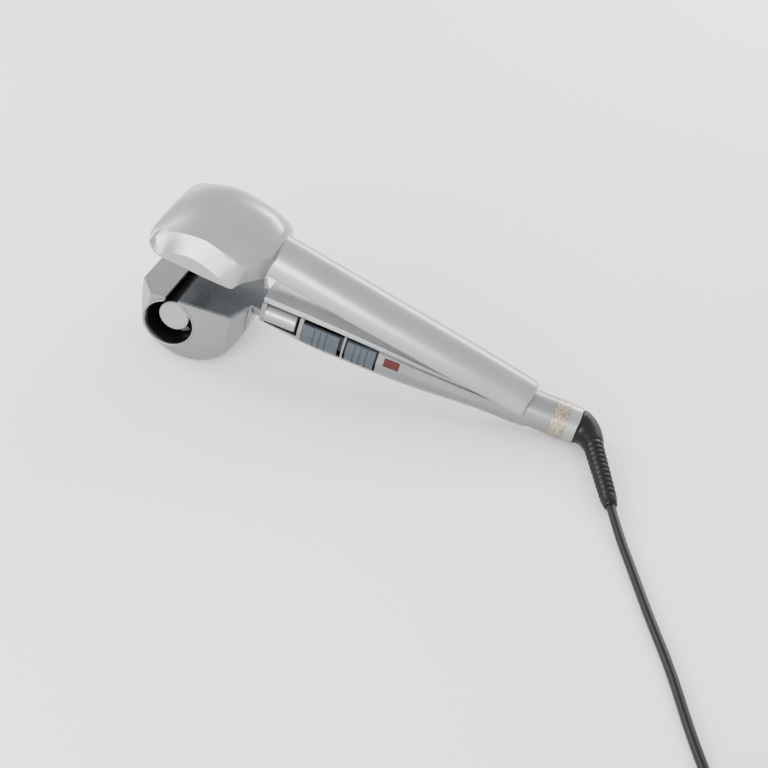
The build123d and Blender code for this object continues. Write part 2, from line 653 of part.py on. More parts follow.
# ---------------------------------------------------------------- controls in the handle
with BuildPart() as control_board:
    with BuildSketch(Plane.XY.offset(BOARD_Z)):
        with Locations(((BOARD_NEAR + BOARD_FAR) / 2, 0)):
            RectangleRounded(BOARD_FAR - BOARD_NEAR, 2 * BOARD_HALF, 2)
        with Locations(*BOARD_POSTS):
            Circle(SCREW_R, mode=Mode.SUBTRACT)
    extrude(amount=BOARD_THICK)
save(control_board, "control_board")

board_top = BOARD_Z + BOARD_THICK
with BuildPart() as board_screws:
    for x, y in BOARD_POSTS:
        add(along_z(SCREW_HEAD_R - 0.3, board_top, board_top + SCREW_HEAD, x, y))
        add(along_z(SCREW_R, BOARD_Z - BOARD_SCREW_BITE, board_top, x, y))
save(board_screws, "board_screws")


def on_board(x, y, length, width, height):
    """Block standing on the control board."""
    return block((x - length / 2, x + length / 2), (y - width / 2, y + width / 2), (board_top, board_top + height))


timer_mid = TIMER_X + TIMER_LENGTH / 2
heat_mid = HEAT_X + HEAT_LENGTH / 2
for node, middle in (("timer_switch", timer_mid), ("heat_switch", heat_mid)):
    with BuildPart() as switch:
        add(on_board(middle, -SWITCH_Y, 12, SWITCH_WIDE, 5))
        fillet(switch.edges().filter_by(Axis.Z), 0.5)
    save(switch, node)

with BuildPart() as main_chip:
    add(on_board(90, 4, 9, 7, 1.6))
    fillet(main_chip.edges().group_by(Axis.Z)[-1], 0.3)
save(main_chip, "main_chip")

with BuildPart() as buzzer:
    add(along_z(BUZZER_R, board_top, board_top + BUZZER_HIGH, *BUZZER_AT))
    add(along_z(BUZZER_HOLE_R, board_top + BUZZER_HIGH - 1, board_top + 20, *BUZZER_AT), mode=Mode.SUBTRACT)
save(buzzer, "buzzer")

with BuildPart() as closing_switch:
    add(on_board(PLUNGER_X, 0, 8, 6, CLOSING_SWITCH_HIGH))
    add(along_z(PLUNGER_R + FIT, PLUNGER_FOOT - 1, 20, PLUNGER_X), mode=Mode.SUBTRACT)
save(closing_switch, "closing_switch")

with BuildPart() as switch_plunger:
    add(along_z(PLUNGER_R, PLUNGER_FOOT, cover_top(PLUNGER_X) + PLUNGER_PROUD, PLUNGER_X))
save(switch_plunger, "switch_plunger")

track_far = HEAT_X + HEAT_LENGTH + SWITCH_TRAVEL_HEAT + 2
track_stations = (62.0, 135.0)
stem_z = BOARD_Z + BOARD_THICK + 2.4
with BuildPart() as slider_track:
    add(arm_skin(-WALL - SEAT, -WALL - SEAT - 1.0, *track_stations, TIMER_X - 2, track_far, TRACK_BOTTOM,
                 KNOB_TOP - GAP))
    for middle, travel, back in ((timer_mid, SWITCH_TRAVEL_TIMER, 0), (heat_mid, SWITCH_TRAVEL_HEAT, SWITCH_TRAVEL_HEAT)):
        with Locations((middle + (travel - back) / 2, -12, stem_z)):
            Box(STEM + 2 * GAP + travel + back, 8, STEM + 2 * GAP, mode=Mode.SUBTRACT)
save(slider_track, "slider_track")


def slide_knob(near_x, length):
    """Slide knob: a piece of the handle's surface, a little proud, with three grooves and a stem."""
    middle = near_x + length / 2
    with BuildPart() as knob:
        add(arm_skin(KNOB_PROUD, KNOB_PROUD - KNOB_THICK + GAP, *track_stations, near_x, near_x + length,
                     KNOB_BOTTOM, KNOB_TOP))
        for groove in (-1, 0, 1):
            groove_x = middle + groove * GROOVE_PITCH
            add(arm_skin(KNOB_PROUD + 1, KNOB_PROUD - GROOVE_DEEP, *track_stations, groove_x - GROOVE_WIDE / 2,
                         groove_x + GROOVE_WIDE / 2, KNOB_BOTTOM - 1, KNOB_TOP + 1), mode=Mode.SUBTRACT)
        stem_in = -SWITCH_Y - SWITCH_WIDE / 2 - GAP
        with Locations((middle, stem_in, stem_z)):
            Box(STEM, STEM_REACH, STEM, align=(Align.CENTER, Align.MAX, Align.CENTER))
    return knob.part


for node, near_x, length in (("timer_slider", TIMER_X, TIMER_LENGTH), ("heat_slider", HEAT_X, HEAT_LENGTH)):
    with BuildPart() as slider:
        add(slide_knob(near_x, length))
    save(slider, node)

with BuildPart() as indicator_lens:
    add(arm_skin(0.15, -WALL, 105.0, 170.0, LENS_X, LENS_X + LENS_LENGTH, -2.0, 3.6))
save(indicator_lens, "indicator_lens")

with BuildPart() as indicator_led:
    add(on_board(LENS_X + LENS_LENGTH / 2, -BOARD_HALF + 2, 3, 3, 2))
    add(along_y(1.5, LENS_X + LENS_LENGTH / 2, board_top + 2.4, -BOARD_HALF - 0.2, -BOARD_HALF + 2.5))
save(indicator_led, "indicator_led")

with BuildPart() as side_bar:
    add(along_x(BAR_R, BAR_X, BAR_X + BAR_LENGTH, BAR_R - BAR_OUT, BAR_Z))
    chamfer(side_bar.edges().group_by(Axis.X)[-1], 0.6)
save(side_bar, "side_bar")

with BuildPart() as power_leads:
    for side in (-1, 1):
        add(along_x(LEAD_R, BOARD_FAR, CONTACT_X, side * LEAD_Y, LEAD_Z))
save(power_leads, "power_leads")

# ---------------------------------------------------------------- hinge
with BuildPart() as hinge_block:
    with Locations((HINGE_X, 0, -12.0)):
        Box(11, 2 * HINGE_BLOCK_HALF, 15.6, align=(Align.CENTER, Align.CENTER, Align.MIN))
    fillet(hinge_block.edges().filter_by(Axis.Y).group_by(Axis.Z)[-1], 2.5)
    add(along_x(TAIL_R - WALL, HINGE_X - 10, HINGE_X + 10), mode=Mode.INTERSECT)
    add(along_y(HINGE_PIN_R, HINGE_X, 0, -20, 20), mode=Mode.SUBTRACT)
save(hinge_block, "hinge_block")

with BuildPart() as hinge_pin:
    add(along_y(HINGE_PIN_R, HINGE_X, 0, -HINGE_PIN_HALF, HINGE_PIN_HALF))
    chamfer(hinge_pin.edges(), 0.3)
save(hinge_pin, "hinge_pin")

with BuildPart() as hinge_bracket:
    with BuildSketch(SIDE.offset(-HINGE_BLOCK_HALF - GAP)):
        with BuildLine():
            Polyline((HINGE_X - EAR_R, 0), (HINGE_X - EAR_R, YOKE_Z), (HINGE_X + EAR_R, YOKE_Z), (HINGE_X + EAR_R, 0))
            CenterArc((HINGE_X, 0), EAR_R, 180, 180)
        make_face()
    extrude(amount=-EAR_THICK)
    mirror(about=Plane.XZ)
    with Locations((HINGE_X - 3.4, 0, YOKE_Z)):
        Box(17.2, 2 * (HINGE_BLOCK_HALF + GAP + EAR_THICK), YOKE_THICK, align=(Align.CENTER, Align.CENTER, Align.MIN))
    for x in YOKE_SCREWS:
        add(along_z(SCREW_R, YOKE_Z - 1, YOKE_Z + YOKE_THICK + 1, x), mode=Mode.SUBTRACT)
    add(along_y(HINGE_PIN_R + FIT, HINGE_X, 0, -20, 20), mode=Mode.SUBTRACT)
save(hinge_bracket, "hinge_bracket", moved=True)

# ---------------------------------------------------------------- upper half, drawn closed
def lid_plan(shrink):
    """Outline of the upper head from above, drawn in by shrink."""
    with BuildSketch() as plan:
        with BuildLine():
            Polyline(
                (-31, 30), (-26, LID_HALF), (28, LID_HALF), (37, 29), (42, 17), (49, SKIRT_HALF),
                (49, -SKIRT_HALF), (42, -17), (37, -29), (28, -LID_HALF), (-26, -LID_HALF), (-31, -30), close=True,
            )
        make_face()
        if shrink:
            offset(amount=-shrink, mode=Mode.REPLACE)
    return plan.sketch


def lid_form(shrink):
    """Upper head as a solid: the overlap of its side, front and top outlines."""
    with BuildPart() as form:
        with BuildSketch(SIDE.offset(45)) as side_view:
            with BuildLine():
                Polyline((48, 23), (48, 0), (-28.5, 0), (-29.5, 4))
                ThreePointArc((-29.5, 4), (-21, LID_HEIGHT - 13), (-8, LID_HEIGHT - 5.5))
                ThreePointArc((-8, LID_HEIGHT - 5.5), (14, LID_HEIGHT), (34, LID_HEIGHT - 2.9))
                ThreePointArc((34, LID_HEIGHT - 2.9), (42, LID_HEIGHT - 5.3), (48, 23))
            make_face()
            if shrink:
                offset(amount=-shrink, mode=Mode.REPLACE)
        extrude(amount=-90)
        with BuildSketch(Plane.YZ.offset(-60)):
            with BuildLine():
                foot = LID_HALF - LID_TAPER + 1
                ThreePointArc((-26.5, LID_HEIGHT - 6), (0, LID_HEIGHT + 0.2), (26.5, LID_HEIGHT - 6))
                Polyline((26.5, LID_HEIGHT - 6), (30.5, LID_HEIGHT - 9), (LID_HALF, 11), (foot, 0),
                         (-foot, 0), (-LID_HALF, 11), (-30.5, LID_HEIGHT - 9), (-26.5, LID_HEIGHT - 6))
            make_face()
            if shrink:
                offset(amount=-shrink, mode=Mode.REPLACE)
        extrude(amount=130, mode=Mode.INTERSECT)
        with BuildSketch(Plane.XY.offset(-5)):
            add(lid_plan(shrink))
        extrude(amount=60, mode=Mode.INTERSECT)
    return form.part


def lid_section(x, half, top, shrink):
    """Arched section of the upper handle."""
    with BuildSketch(Plane.YZ.offset(x)) as section:
        with BuildLine():
            EllipticalCenterArc((0, SKIRT_Z), half - shrink, top - SKIRT_Z - shrink, 0, arc_size=180)
            Polyline((shrink - half, SKIRT_Z), (shrink - half, SKIRT_Z - shrink - 0.01),
                     (half - shrink, SKIRT_Z - shrink - 0.01), (half - shrink, SKIRT_Z))
        make_face()
    return section.sketch


LID_STATIONS = [(42.0, SKIRT_HALF, 22.8), (70.0, SKIRT_HALF, 22.3), (118.0, SKIRT_HALF, 21.4),
                (160.0, SKIRT_HALF - 0.5, 20.8), (190.0, SKIRT_HALF - 1.5, 20.2),
                (LID_ARM_END, SKIRT_HALF - 2.7, 19.4)]
LID_CAVITY = [(36.0, SKIRT_HALF, 22.9)] + LID_STATIONS[1:-1] + [(LID_ARM_END - 2.2, SKIRT_HALF - 2.6, 19.5)]
arch_r = TAIL_R + 0.4
arch_lift = (LID_ARM_END - HINGE_X) * sin(radians(OPEN_ANGLE)) + 0.2
lid_ramp = Pos(-18, 0, 0) * Rot(0, nose_angle * 1.8, 0) * Box(60, 90, 20, align=(Align.MAX, Align.CENTER, Align.MAX))

with BuildPart() as upper_shell:
    add(lid_form(0))
    loft([lid_section(*station, 0) for station in LID_STATIONS])
    add(lid_form(WALL), mode=Mode.SUBTRACT)
    with BuildSketch(Plane.XY.offset(-1)):
        add(lid_plan(LID_TAPER + WALL))
        with Locations((30, 0)):
            Rectangle(30, 2 * (SKIRT_HALF - SKIRT_WALL))
    extrude(amount=WALL + 3, mode=Mode.SUBTRACT)
    loft([lid_section(*station, SKIRT_WALL) for station in LID_CAVITY], mode=Mode.SUBTRACT)
    with Locations((43, 0, -1)):
        Box(12, 2 * (SKIRT_HALF - SKIRT_WALL), 12, align=(Align.CENTER, Align.CENTER, Align.MIN), mode=Mode.SUBTRACT)
    for lift in (0, arch_lift):
        add(along_x(arch_r, LID_ARM_END - 4, LID_ARM_END + 1, 0, lift), mode=Mode.SUBTRACT)
    with Locations((LID_ARM_END - 1, 0, arch_lift / 2)):
        Box(6, 2 * arch_r, arch_lift, mode=Mode.SUBTRACT)
    add(lid_ramp, mode=Mode.SUBTRACT)
    for x in YOKE_SCREWS:
        add(along_z(BOSS_R, YOKE_Z + YOKE_THICK, YOKE_Z + YOKE_BOSS, x))
        add(along_z(SCREW_R, YOKE_Z, YOKE_Z + YOKE_BOSS - 2, x), mode=Mode.SUBTRACT)
save(upper_shell, "upper_shell", moved=True)


def liner_height(x):
    """Underside of the upper liner above the handle cover."""
    return cover_top(x) + LINER_CLEAR


RIBBON_HALF = SKIRT_HALF - SKIRT_WALL - GAP


def liner_room():
    """Inside of the upper handle, less a clearance, with the passage into the head."""
    with BuildPart() as room:
        loft([lid_section(*station, SKIRT_WALL + GAP) for station in LID_CAVITY])
        with Locations((41, 0, -1)):
            Box(14, 2 * RIBBON_HALF, 9, align=(Align.CENTER, Align.CENTER, Align.MIN))
    return room.part


def liner_ribbon():
    """Strip of the liner that follows the handle cover, trimmed to the inside of the upper handle."""
    with BuildPart() as ribbon:
        with BuildSketch(SIDE.offset(RIBBON_HALF)):
            with BuildLine():
                Polyline((40, COVER_WALL / 2), (43, COVER_WALL / 2),
                         *[(x, liner_height(x) + COVER_WALL / 2) for x in (44.6, 80, 105, 135, 170, LINER_END)])
            trace(line_width=COVER_WALL)
        extrude(amount=-2 * RIBBON_HALF)
        add(liner_room(), mode=Mode.INTERSECT)
    return ribbon.part


with BuildPart() as upper_liner:
    with BuildSketch():
        add(lid_plan(LID_TAPER + WALL + SEAT))
        with Locations((49, 0)):
            Rectangle(2 * (49 - 42.5), 90, mode=Mode.SUBTRACT)
    extrude(amount=COVER_WALL)
    add(lid_ramp, mode=Mode.SUBTRACT)
    add(liner_ribbon())
save(upper_liner, "upper_liner", moved=True)

with BuildPart() as strand_pad:
    with Locations(((SLOT_FRONT + SLOT_REAR) / 2, 0, 0)):
        Box(SLOT_REAR - SLOT_FRONT - 2 * GAP, PAD_LENGTH, PAD_DEPTH, align=(Align.CENTER, Align.CENTER, Align.MAX))
    fillet(strand_pad.edges().group_by(Axis.Z)[0], 0.8)
save(strand_pad, "strand_pad", moved=True)

with BuildPart() as yoke_screws:
    for x in YOKE_SCREWS:
        add(along_z(SCREW_R, YOKE_Z, YOKE_Z + YOKE_BOSS - 2, x))
        add(along_z(SCREW_HEAD_R, YOKE_Z - SCREW_HEAD, YOKE_Z, x))
save(yoke_screws, "yoke_screws", moved=True)

with BuildPart() as cover_screws:
    for x in COVER_SCREWS:
        foot = arm_floor(x) - WALL
        add(along_z(SCREW_HEAD_R, foot, foot + SCREW_HEAD, x))
        add(along_z(SCREW_R, foot, foot + WALL + COVER_SCREW_BITE - 1, x))
save(cover_screws, "cover_screws")

spring_foot = arm_floor(SPRING_X) + SPRING_WIRE + 0.9
spring_head = (liner_height(SPRING_X) * cos(radians(OPEN_ANGLE))
               + (HINGE_X - SPRING_X) * sin(radians(OPEN_ANGLE)) - SPRING_WIRE - 0.5)
with BuildPart() as opening_spring:
    with BuildLine() as coil_path:
        Helix(SPRING_PITCH, spring_head - spring_foot, SPRING_R, center=(SPRING_X, 0, spring_foot))
    with BuildSketch(Plane(coil_path.line @ 0, z_dir=coil_path.line % 0)):
        Circle(SPRING_WIRE / 2)
    sweep()
save(opening_spring, "opening_spring")
print("spring foot and head, tool frame:", spring_foot, spring_head)

# ---------------------------------------------------------------- tail
with BuildPart() as metal_band:
    add(along_x(TAIL_R + BAND_PROUD, BAND_START + SEAT, BAND_END - SEAT / 2))
    chamfer(metal_band.edges(), 0.2)
    add(along_x(SPIGOT_R + SEAT / 2, BAND_START - 1, BAND_END + 1), mode=Mode.SUBTRACT)
save(metal_band, "metal_band")

with BuildPart() as end_ring:
    add(along_x(TAIL_R, BAND_END + SEAT / 2, TAIL_END))
    chamfer(end_ring.edges().group_by(Axis.X)[-1], 0.5)
    add(along_x(SPIGOT_R + SEAT / 2, BAND_END - 1, SPIGOT_END + FLANGE_THICK + 2 * SEAT), mode=Mode.SUBTRACT)
    add(along_x(NECK_R + FIT, TAIL_END - 10, TAIL_END + 1), mode=Mode.SUBTRACT)
save(end_ring, "end_ring")

with BuildPart() as swivel_contact:
    add(along_x(TAIL_R - WALL - SEAT, CONTACT_X, CONTACT_X + 2.5))
    add(along_x(3.0, CONTACT_X + 2.5, SPIGOT_END - 1.0))
    for angle in (0, 180):
        add(along_x(1.0, CONTACT_X - 1, CONTACT_X + 3, 0, 5.5 * cos(radians(angle))), mode=Mode.SUBTRACT)
save(swivel_contact, "swivel_contact")



def across_tail(x):
    """Plane across the tail at x, brought to rest."""
    return Plane((REST * Pos(x, 0, 0)).position, z_dir=(cos(radians(LEAN)), 0, -sin(radians(LEAN))))


elbow_centre = across_tail(TAIL_END + ELBOW_REACH).origin
relief_tip = Vector(*RELIEF_TIP)
relief_way = (relief_tip - elbow_centre).normalized()
relief_start = elbow_centre + relief_way * ELBOW_ARM
relief_plane = Plane(relief_start, z_dir=relief_way)
relief_length = (relief_tip - relief_start).length

with BuildPart() as cord_elbow:
    for radius, near, far in ((SPIGOT_R - 1.0, SPIGOT_END + SEAT, SPIGOT_END + SEAT + FLANGE_THICK),
                              (NECK_R, SPIGOT_END + SEAT, TAIL_END + SEAT + 0.5)):
        add(REST * along_x(radius, near, far))
    with BuildSketch(across_tail(TAIL_END + 2 * SEAT)):
        Circle(BOOT_R)
    with BuildSketch(across_tail(TAIL_END + ELBOW_REACH)):
        Circle(ELBOW_R)
    loft()
    with Locations(elbow_centre):
        Sphere(ELBOW_R)
    with BuildSketch(Plane(elbow_centre, z_dir=relief_way)):
        Circle(ELBOW_R)
    with BuildSketch(relief_plane):
        Circle(RELIEF_R + 0.6)
    loft()
save_placed(cord_elbow, "cord_elbow")

rib_pitch = relief_length * 0.8 / RELIEF_RIBS
with BuildPart() as strain_relief:
    with BuildSketch(relief_plane):
        Circle(RELIEF_R)
    with BuildSketch(Plane(relief_tip, z_dir=relief_way)):
        Circle(RELIEF_TIP_R)
    loft()
    for rib in range(RELIEF_RIBS):
        along = rib_pitch * (rib + 1)
        radius = RELIEF_R + (RELIEF_TIP_R - RELIEF_R) * along / relief_length
        with BuildSketch(Plane(relief_start + relief_way * along, z_dir=relief_way)):
            Circle(radius + 1)
            Circle(radius - RIB_DEEP, mode=Mode.SUBTRACT)
        extrude(amount=rib_pitch * 0.35, mode=Mode.SUBTRACT)
save_placed(strain_relief, "strain_relief")

# ---------------------------------------------------------------- cord, coil and plug, drawn at rest
route = [relief_tip] + [Vector(*point) for point in CORD_POINTS]
runs = [(b - a).length for a, b in zip(route, route[1:])]
turns = [radians((b - a).get_angle(c - b)) for a, b, c in zip(route, route[1:], route[2:])]
radii = [0.45 * min(near, far) / tan(turn / 2) for near, far, turn in zip(runs, runs[1:], turns)]
with BuildPart() as cord:
    with BuildLine() as cord_path:
        FilletPolyline(*route, radius=radii)
    with BuildSketch(Plane(cord_path.line @ 0, z_dir=cord_path.line % 0)):
        Circle(CORD_D / 2)
    sweep()
cord_length = cord_path.wires()[0].length
print("cord runs", [round(run, 1) for run in runs], "radii", [round(radius, 1) for radius in radii])
print("cord length", cord_length, "volume ratio", cord.part.volume / (pi * (CORD_D / 2) ** 2 * cord_length))
save_placed(cord, "cord")

coil_half = COIL_SIDE * CORD_D / 2
with BuildPart() as cord_coil:
    with BuildSketch(Plane((COIL_X, COIL_Y, 0), x_dir=(1, 0, 0), z_dir=(0, -1, 0))):
        with Locations((COIL_MEAN_R, coil_half)):
            RectangleRounded(2 * coil_half, 2 * coil_half, CORD_D / 2 - 0.1)
    revolve(axis=Axis((COIL_X, COIL_Y, 0), (0, 0, 1)))
save_placed(cord_coil, "cord_coil")

tie_spot = Plane((COIL_X + COIL_MEAN_R * cos(TIE_ANGLE), COIL_Y + COIL_MEAN_R * sin(TIE_ANGLE), 0),
                 x_dir=(cos(TIE_ANGLE), sin(TIE_ANGLE), 0))
with BuildPart() as cord_tie:
    with BuildSketch(tie_spot):
        Rectangle(2 * (coil_half + TIE_THICK + 0.7), TIE_WIDE)
    extrude(amount=2 * coil_half + TIE_THICK + 0.2)
    with BuildSketch(tie_spot):
        Rectangle(2 * (coil_half + 0.7), 2 * TIE_WIDE)
    extrude(amount=2 * coil_half + 0.2, mode=Mode.SUBTRACT)
save_placed(cord_tie, "cord_tie")

plug_face = Plane(PLUG_AT, x_dir=(-sin(PLUG_TURN), cos(PLUG_TURN), 0), z_dir=(cos(PLUG_TURN), sin(PLUG_TURN), 0))
with BuildPart() as plug_body:
    for depth, wide, high in ((0, 9.0, 9.0), (9, 20.0, 15.0), (PLUG_LENGTH, 23.0, 16.4)):
        with BuildSketch(plug_face.offset(depth)):
            RectangleRounded(wide, high, 3)
    loft()
save_placed(plug_body, "plug_body")

with BuildPart() as plug_blades:
    with BuildSketch(plug_face.offset(PLUG_LENGTH)):
        with Locations((-BLADE_APART / 2, 0), (BLADE_APART / 2, 0)):
            Rectangle(1.5, 6.4)
    extrude(amount=BLADE_LENGTH)
save_placed(plug_blades, "plug_blades")
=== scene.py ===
"""Looks of an automatic hair curler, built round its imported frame. Metres; sizes in fields are millimetres."""

import json
import logging
from dataclasses import dataclass
from enum import Enum
from math import cos, pi, radians, sin
from typing import Any, Optional

import bmesh
import bpy
import numpy as np
from mathutils import Matrix, Vector

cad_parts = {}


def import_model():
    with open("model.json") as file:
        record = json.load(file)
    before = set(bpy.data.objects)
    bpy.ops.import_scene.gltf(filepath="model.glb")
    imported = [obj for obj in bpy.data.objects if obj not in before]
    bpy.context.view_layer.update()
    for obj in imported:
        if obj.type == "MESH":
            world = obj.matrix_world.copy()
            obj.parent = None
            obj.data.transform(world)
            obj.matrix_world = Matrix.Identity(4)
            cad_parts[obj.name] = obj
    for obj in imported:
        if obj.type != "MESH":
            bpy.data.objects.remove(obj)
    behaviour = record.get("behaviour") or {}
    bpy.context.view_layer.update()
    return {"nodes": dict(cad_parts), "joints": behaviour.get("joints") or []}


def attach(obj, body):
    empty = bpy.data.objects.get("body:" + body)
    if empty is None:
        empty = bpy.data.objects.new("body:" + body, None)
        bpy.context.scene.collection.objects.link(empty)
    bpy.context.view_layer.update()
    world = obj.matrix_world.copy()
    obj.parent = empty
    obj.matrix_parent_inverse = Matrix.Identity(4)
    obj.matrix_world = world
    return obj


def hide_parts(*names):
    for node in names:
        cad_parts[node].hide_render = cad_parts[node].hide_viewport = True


LOG = logging.getLogger("curler")
MM = 0.001
HINGE_X = 201.6  # the hinge's place along the tool
TAIL_X = 249.0  # the tail's end along the tool
WELD_M = 1e-6  # corners closer than this become one
TONE_BAND = (0.35, 0.65)  # part of the mottle's noise that is spread over the two tones
GRAIN_BAND = (0.3, 0.7)  # part of the grain's noise that is spread over the roughness
MOTTLE_DETAIL = 3.0  # octaves of noise
GRAIN_DETAIL = 2.0
MIX_COLOURS = (6, 7)  # colour inputs of a mix node
MIX_RESULT = 2  # its colour output


class Body(Enum):
    """Bodies of the frame that new pieces ride on."""

    BASE = "base"
    LID = "lid"
    CORD = "cord_swivel"


# ---------------------------------------------------------------- placing
@dataclass
class ToolFrame:
    """The tool's own axes in the frame: x to the tail, y across, z out of the closing plane.

    The lid is drawn closed and opened by the hinge's range, so that it meets its packed place.
    """

    origin: np.ndarray
    along: np.ndarray
    out: np.ndarray
    opening: float

    @classmethod
    def of(cls, joints: list[dict[str, Any]]) -> "ToolFrame":
        """Read the axes from the joints.

        Args:
            joints: the record's joints.

        Returns:
            The tool's axes at rest.
        """
        named = {joint["name"]: joint for joint in joints}
        along = np.array(named["timer_slide"]["axis"], float)
        out = -np.array(named["plunger_press"]["axis"], float)
        hinge = np.array(named["jaw_hinge"]["pos_m"], float)
        opening = radians(max(named["jaw_hinge"]["range_deg"]))
        return cls(hinge - along * HINGE_X * MM, along, out, opening)

    def place(self, points: np.ndarray, lid: bool = False) -> np.ndarray:
        """Bring points in tool millimetres to rest.

        Args:
            points: array with x, y, z last.
            lid: whether the points belong to the upper handle.

        Returns:
            The points in metres in the frame, in the same array shape.
        """
        x, y, z = points[..., 0], points[..., 1], points[..., 2]
        if lid:
            dx = x - HINGE_X
            x = HINGE_X + dx * cos(self.opening) + z * sin(self.opening)
            z = -dx * sin(self.opening) + z * cos(self.opening)
        across = np.array([0.0, 1.0, 0.0])
        return self.origin + MM * (x[..., None] * self.along + y[..., None] * across + z[..., None] * self.out)


# ---------------------------------------------------------------- meshes
def mesh_piece(
    name: str, points: np.ndarray, faces: list[tuple[int, ...]], smooth: float = 40.0
) -> bpy.types.Object:
    """Make a mesh object from points and faces, its normals outwards and its sharp edges marked.

    Args:
        name: the piece's name.
        points: n by 3 array in metres.
        faces: corner indices of each face.
        smooth: degrees above which an edge stays sharp.

    Returns:
        The new object.
    """
    mesh = bpy.data.meshes.new(name)
    mesh.from_pydata(points.tolist(), [], faces)
    mesh.validate()
    piece = bpy.data.objects.new(name, mesh)
    bpy.context.collection.objects.link(piece)
    work = bmesh.new()
    work.from_mesh(mesh)
    bmesh.ops.remove_doubles(work, verts=work.verts, dist=WELD_M)
    bmesh.ops.recalc_face_normals(work, faces=work.faces)
    work.to_mesh(mesh)
    work.free()
    mesh.shade_smooth()
    mesh.set_sharp_from_angle(angle=radians(smooth))
    return piece


def grid_faces(rows: int, columns: int, ring: bool = False) -> list[tuple[int, ...]]:
    """Quads of a grid of points.

    Args:
        rows: rows of points.
        columns: points in a row.
        ring: whether the last column joins the first.

    Returns:
        Four corner indices for each quad.
    """
    last = columns if ring else columns - 1
    edges = [(r * columns + c, r * columns + (c + 1) % columns) for r in range(rows - 1) for c in range(last)]
    return [(corner, beside, beside + columns, corner + columns) for corner, beside in edges]


def smooth_rows(stations: np.ndarray, steps: int) -> np.ndarray:
    """Rows between stations by a Catmull-Rom spline, run through the whole array at once.

    Each coordinate is (2b + (c-a)t + (2a-5b+4c-d)t^2 + (3b-a-3c+d)t^3) / 2 between stations b and c.

    Args:
        stations: array of k stations, any shape after the first axis.
        steps: rows made between two stations.

    Returns:
        Array of (k-1)*steps+1 rows.
    """
    before, after = 2 * stations[:1] - stations[1:2], 2 * stations[-1:] - stations[-2:-1]
    padded = np.concatenate([before, stations, after])
    a, b, c, d = padded[:-3], padded[1:-2], padded[2:-1], padded[3:]
    t = (np.arange(steps) / steps).reshape((1, steps) + (1,) * (stations.ndim - 1))
    a, b, c, d = (part[:, None] for part in (a, b, c, d))
    square, cube = 2 * a - 5 * b + 4 * c - d, 3 * b - a - 3 * c + d
    rows = 0.5 * (2 * b + (c - a) * t + square * t**2 + cube * t**3)
    return np.concatenate([rows.reshape((-1,) + stations.shape[1:]), stations[-1:]])


def revolve_rows(
    axis: np.ndarray, ways: tuple[np.ndarray, np.ndarray], profile: np.ndarray, turns: int
) -> np.ndarray:
    """Rows of a surface of revolution: start + way * along + (side cos a + up sin a) * radius.

    Args:
        axis: start point and unit direction, 2 by 3.
        ways: two unit vectors across the axis.
        profile: k by 2, distance along the axis and radius, metres.
        turns: columns round the axis.

    Returns:
        k by turns by 3 array.
    """
    angle = np.linspace(0, 2 * pi, turns, endpoint=False)
    rim = np.cos(angle)[:, None] * ways[0] + np.sin(angle)[:, None] * ways[1]
    return axis[0] + profile[:, None, :1] * axis[1] + profile[:, None, 1:] * rim[None]


def across(way: np.ndarray) -> tuple[np.ndarray, np.ndarray]:
    """Find two unit vectors square to a direction and to each other.

    Args:
        way: unit direction, not upright.

    Returns:
        The two vectors.
    """
    side = np.cross(way, [0.0, 0.0, 1.0])
    side = side / np.linalg.norm(side)
    return side, np.cross(side, way)


# ---------------------------------------------------------------- materials
def linear(code: str) -> tuple[float, float, float, float]:
    """Turn an sRGB code linear: c / 12.92 up to 0.04045, above it ((c + 0.055) / 1.055)^2.4.

    Args:
        code: six hex digits.

    Returns:
        Red, green, blue and full alpha.
    """
    parts = [int(code[i : i + 2], 16) / 255 for i in (0, 2, 4)]
    values = [p / 12.92 if p <= 0.04045 else ((p + 0.055) / 1.055) ** 2.4 for p in parts]
    return values[0], values[1], values[2], 1.0


def add_node(
    tree: bpy.types.NodeTree, kind: str, inputs: Optional[dict[Any, Any]] = None, **settings: Any
) -> bpy.types.Node:
    """Add a node, set its properties and feed its inputs.

    Args:
        tree: the node tree.
        kind: node type without its ShaderNode prefix.
        inputs: input name or number to a value or an output socket.
        **settings: the node's own properties.

    Returns:
        The new node.
    """
    node = tree.nodes.new("ShaderNode" + kind)
    for name, value in settings.items():
        setattr(node, name, value)
    for name, value in (inputs or {}).items():
        if isinstance(value, bpy.types.NodeSocket):
            tree.links.new(value, node.inputs[name])
        else:
            node.inputs[name].default_value = value
    return node


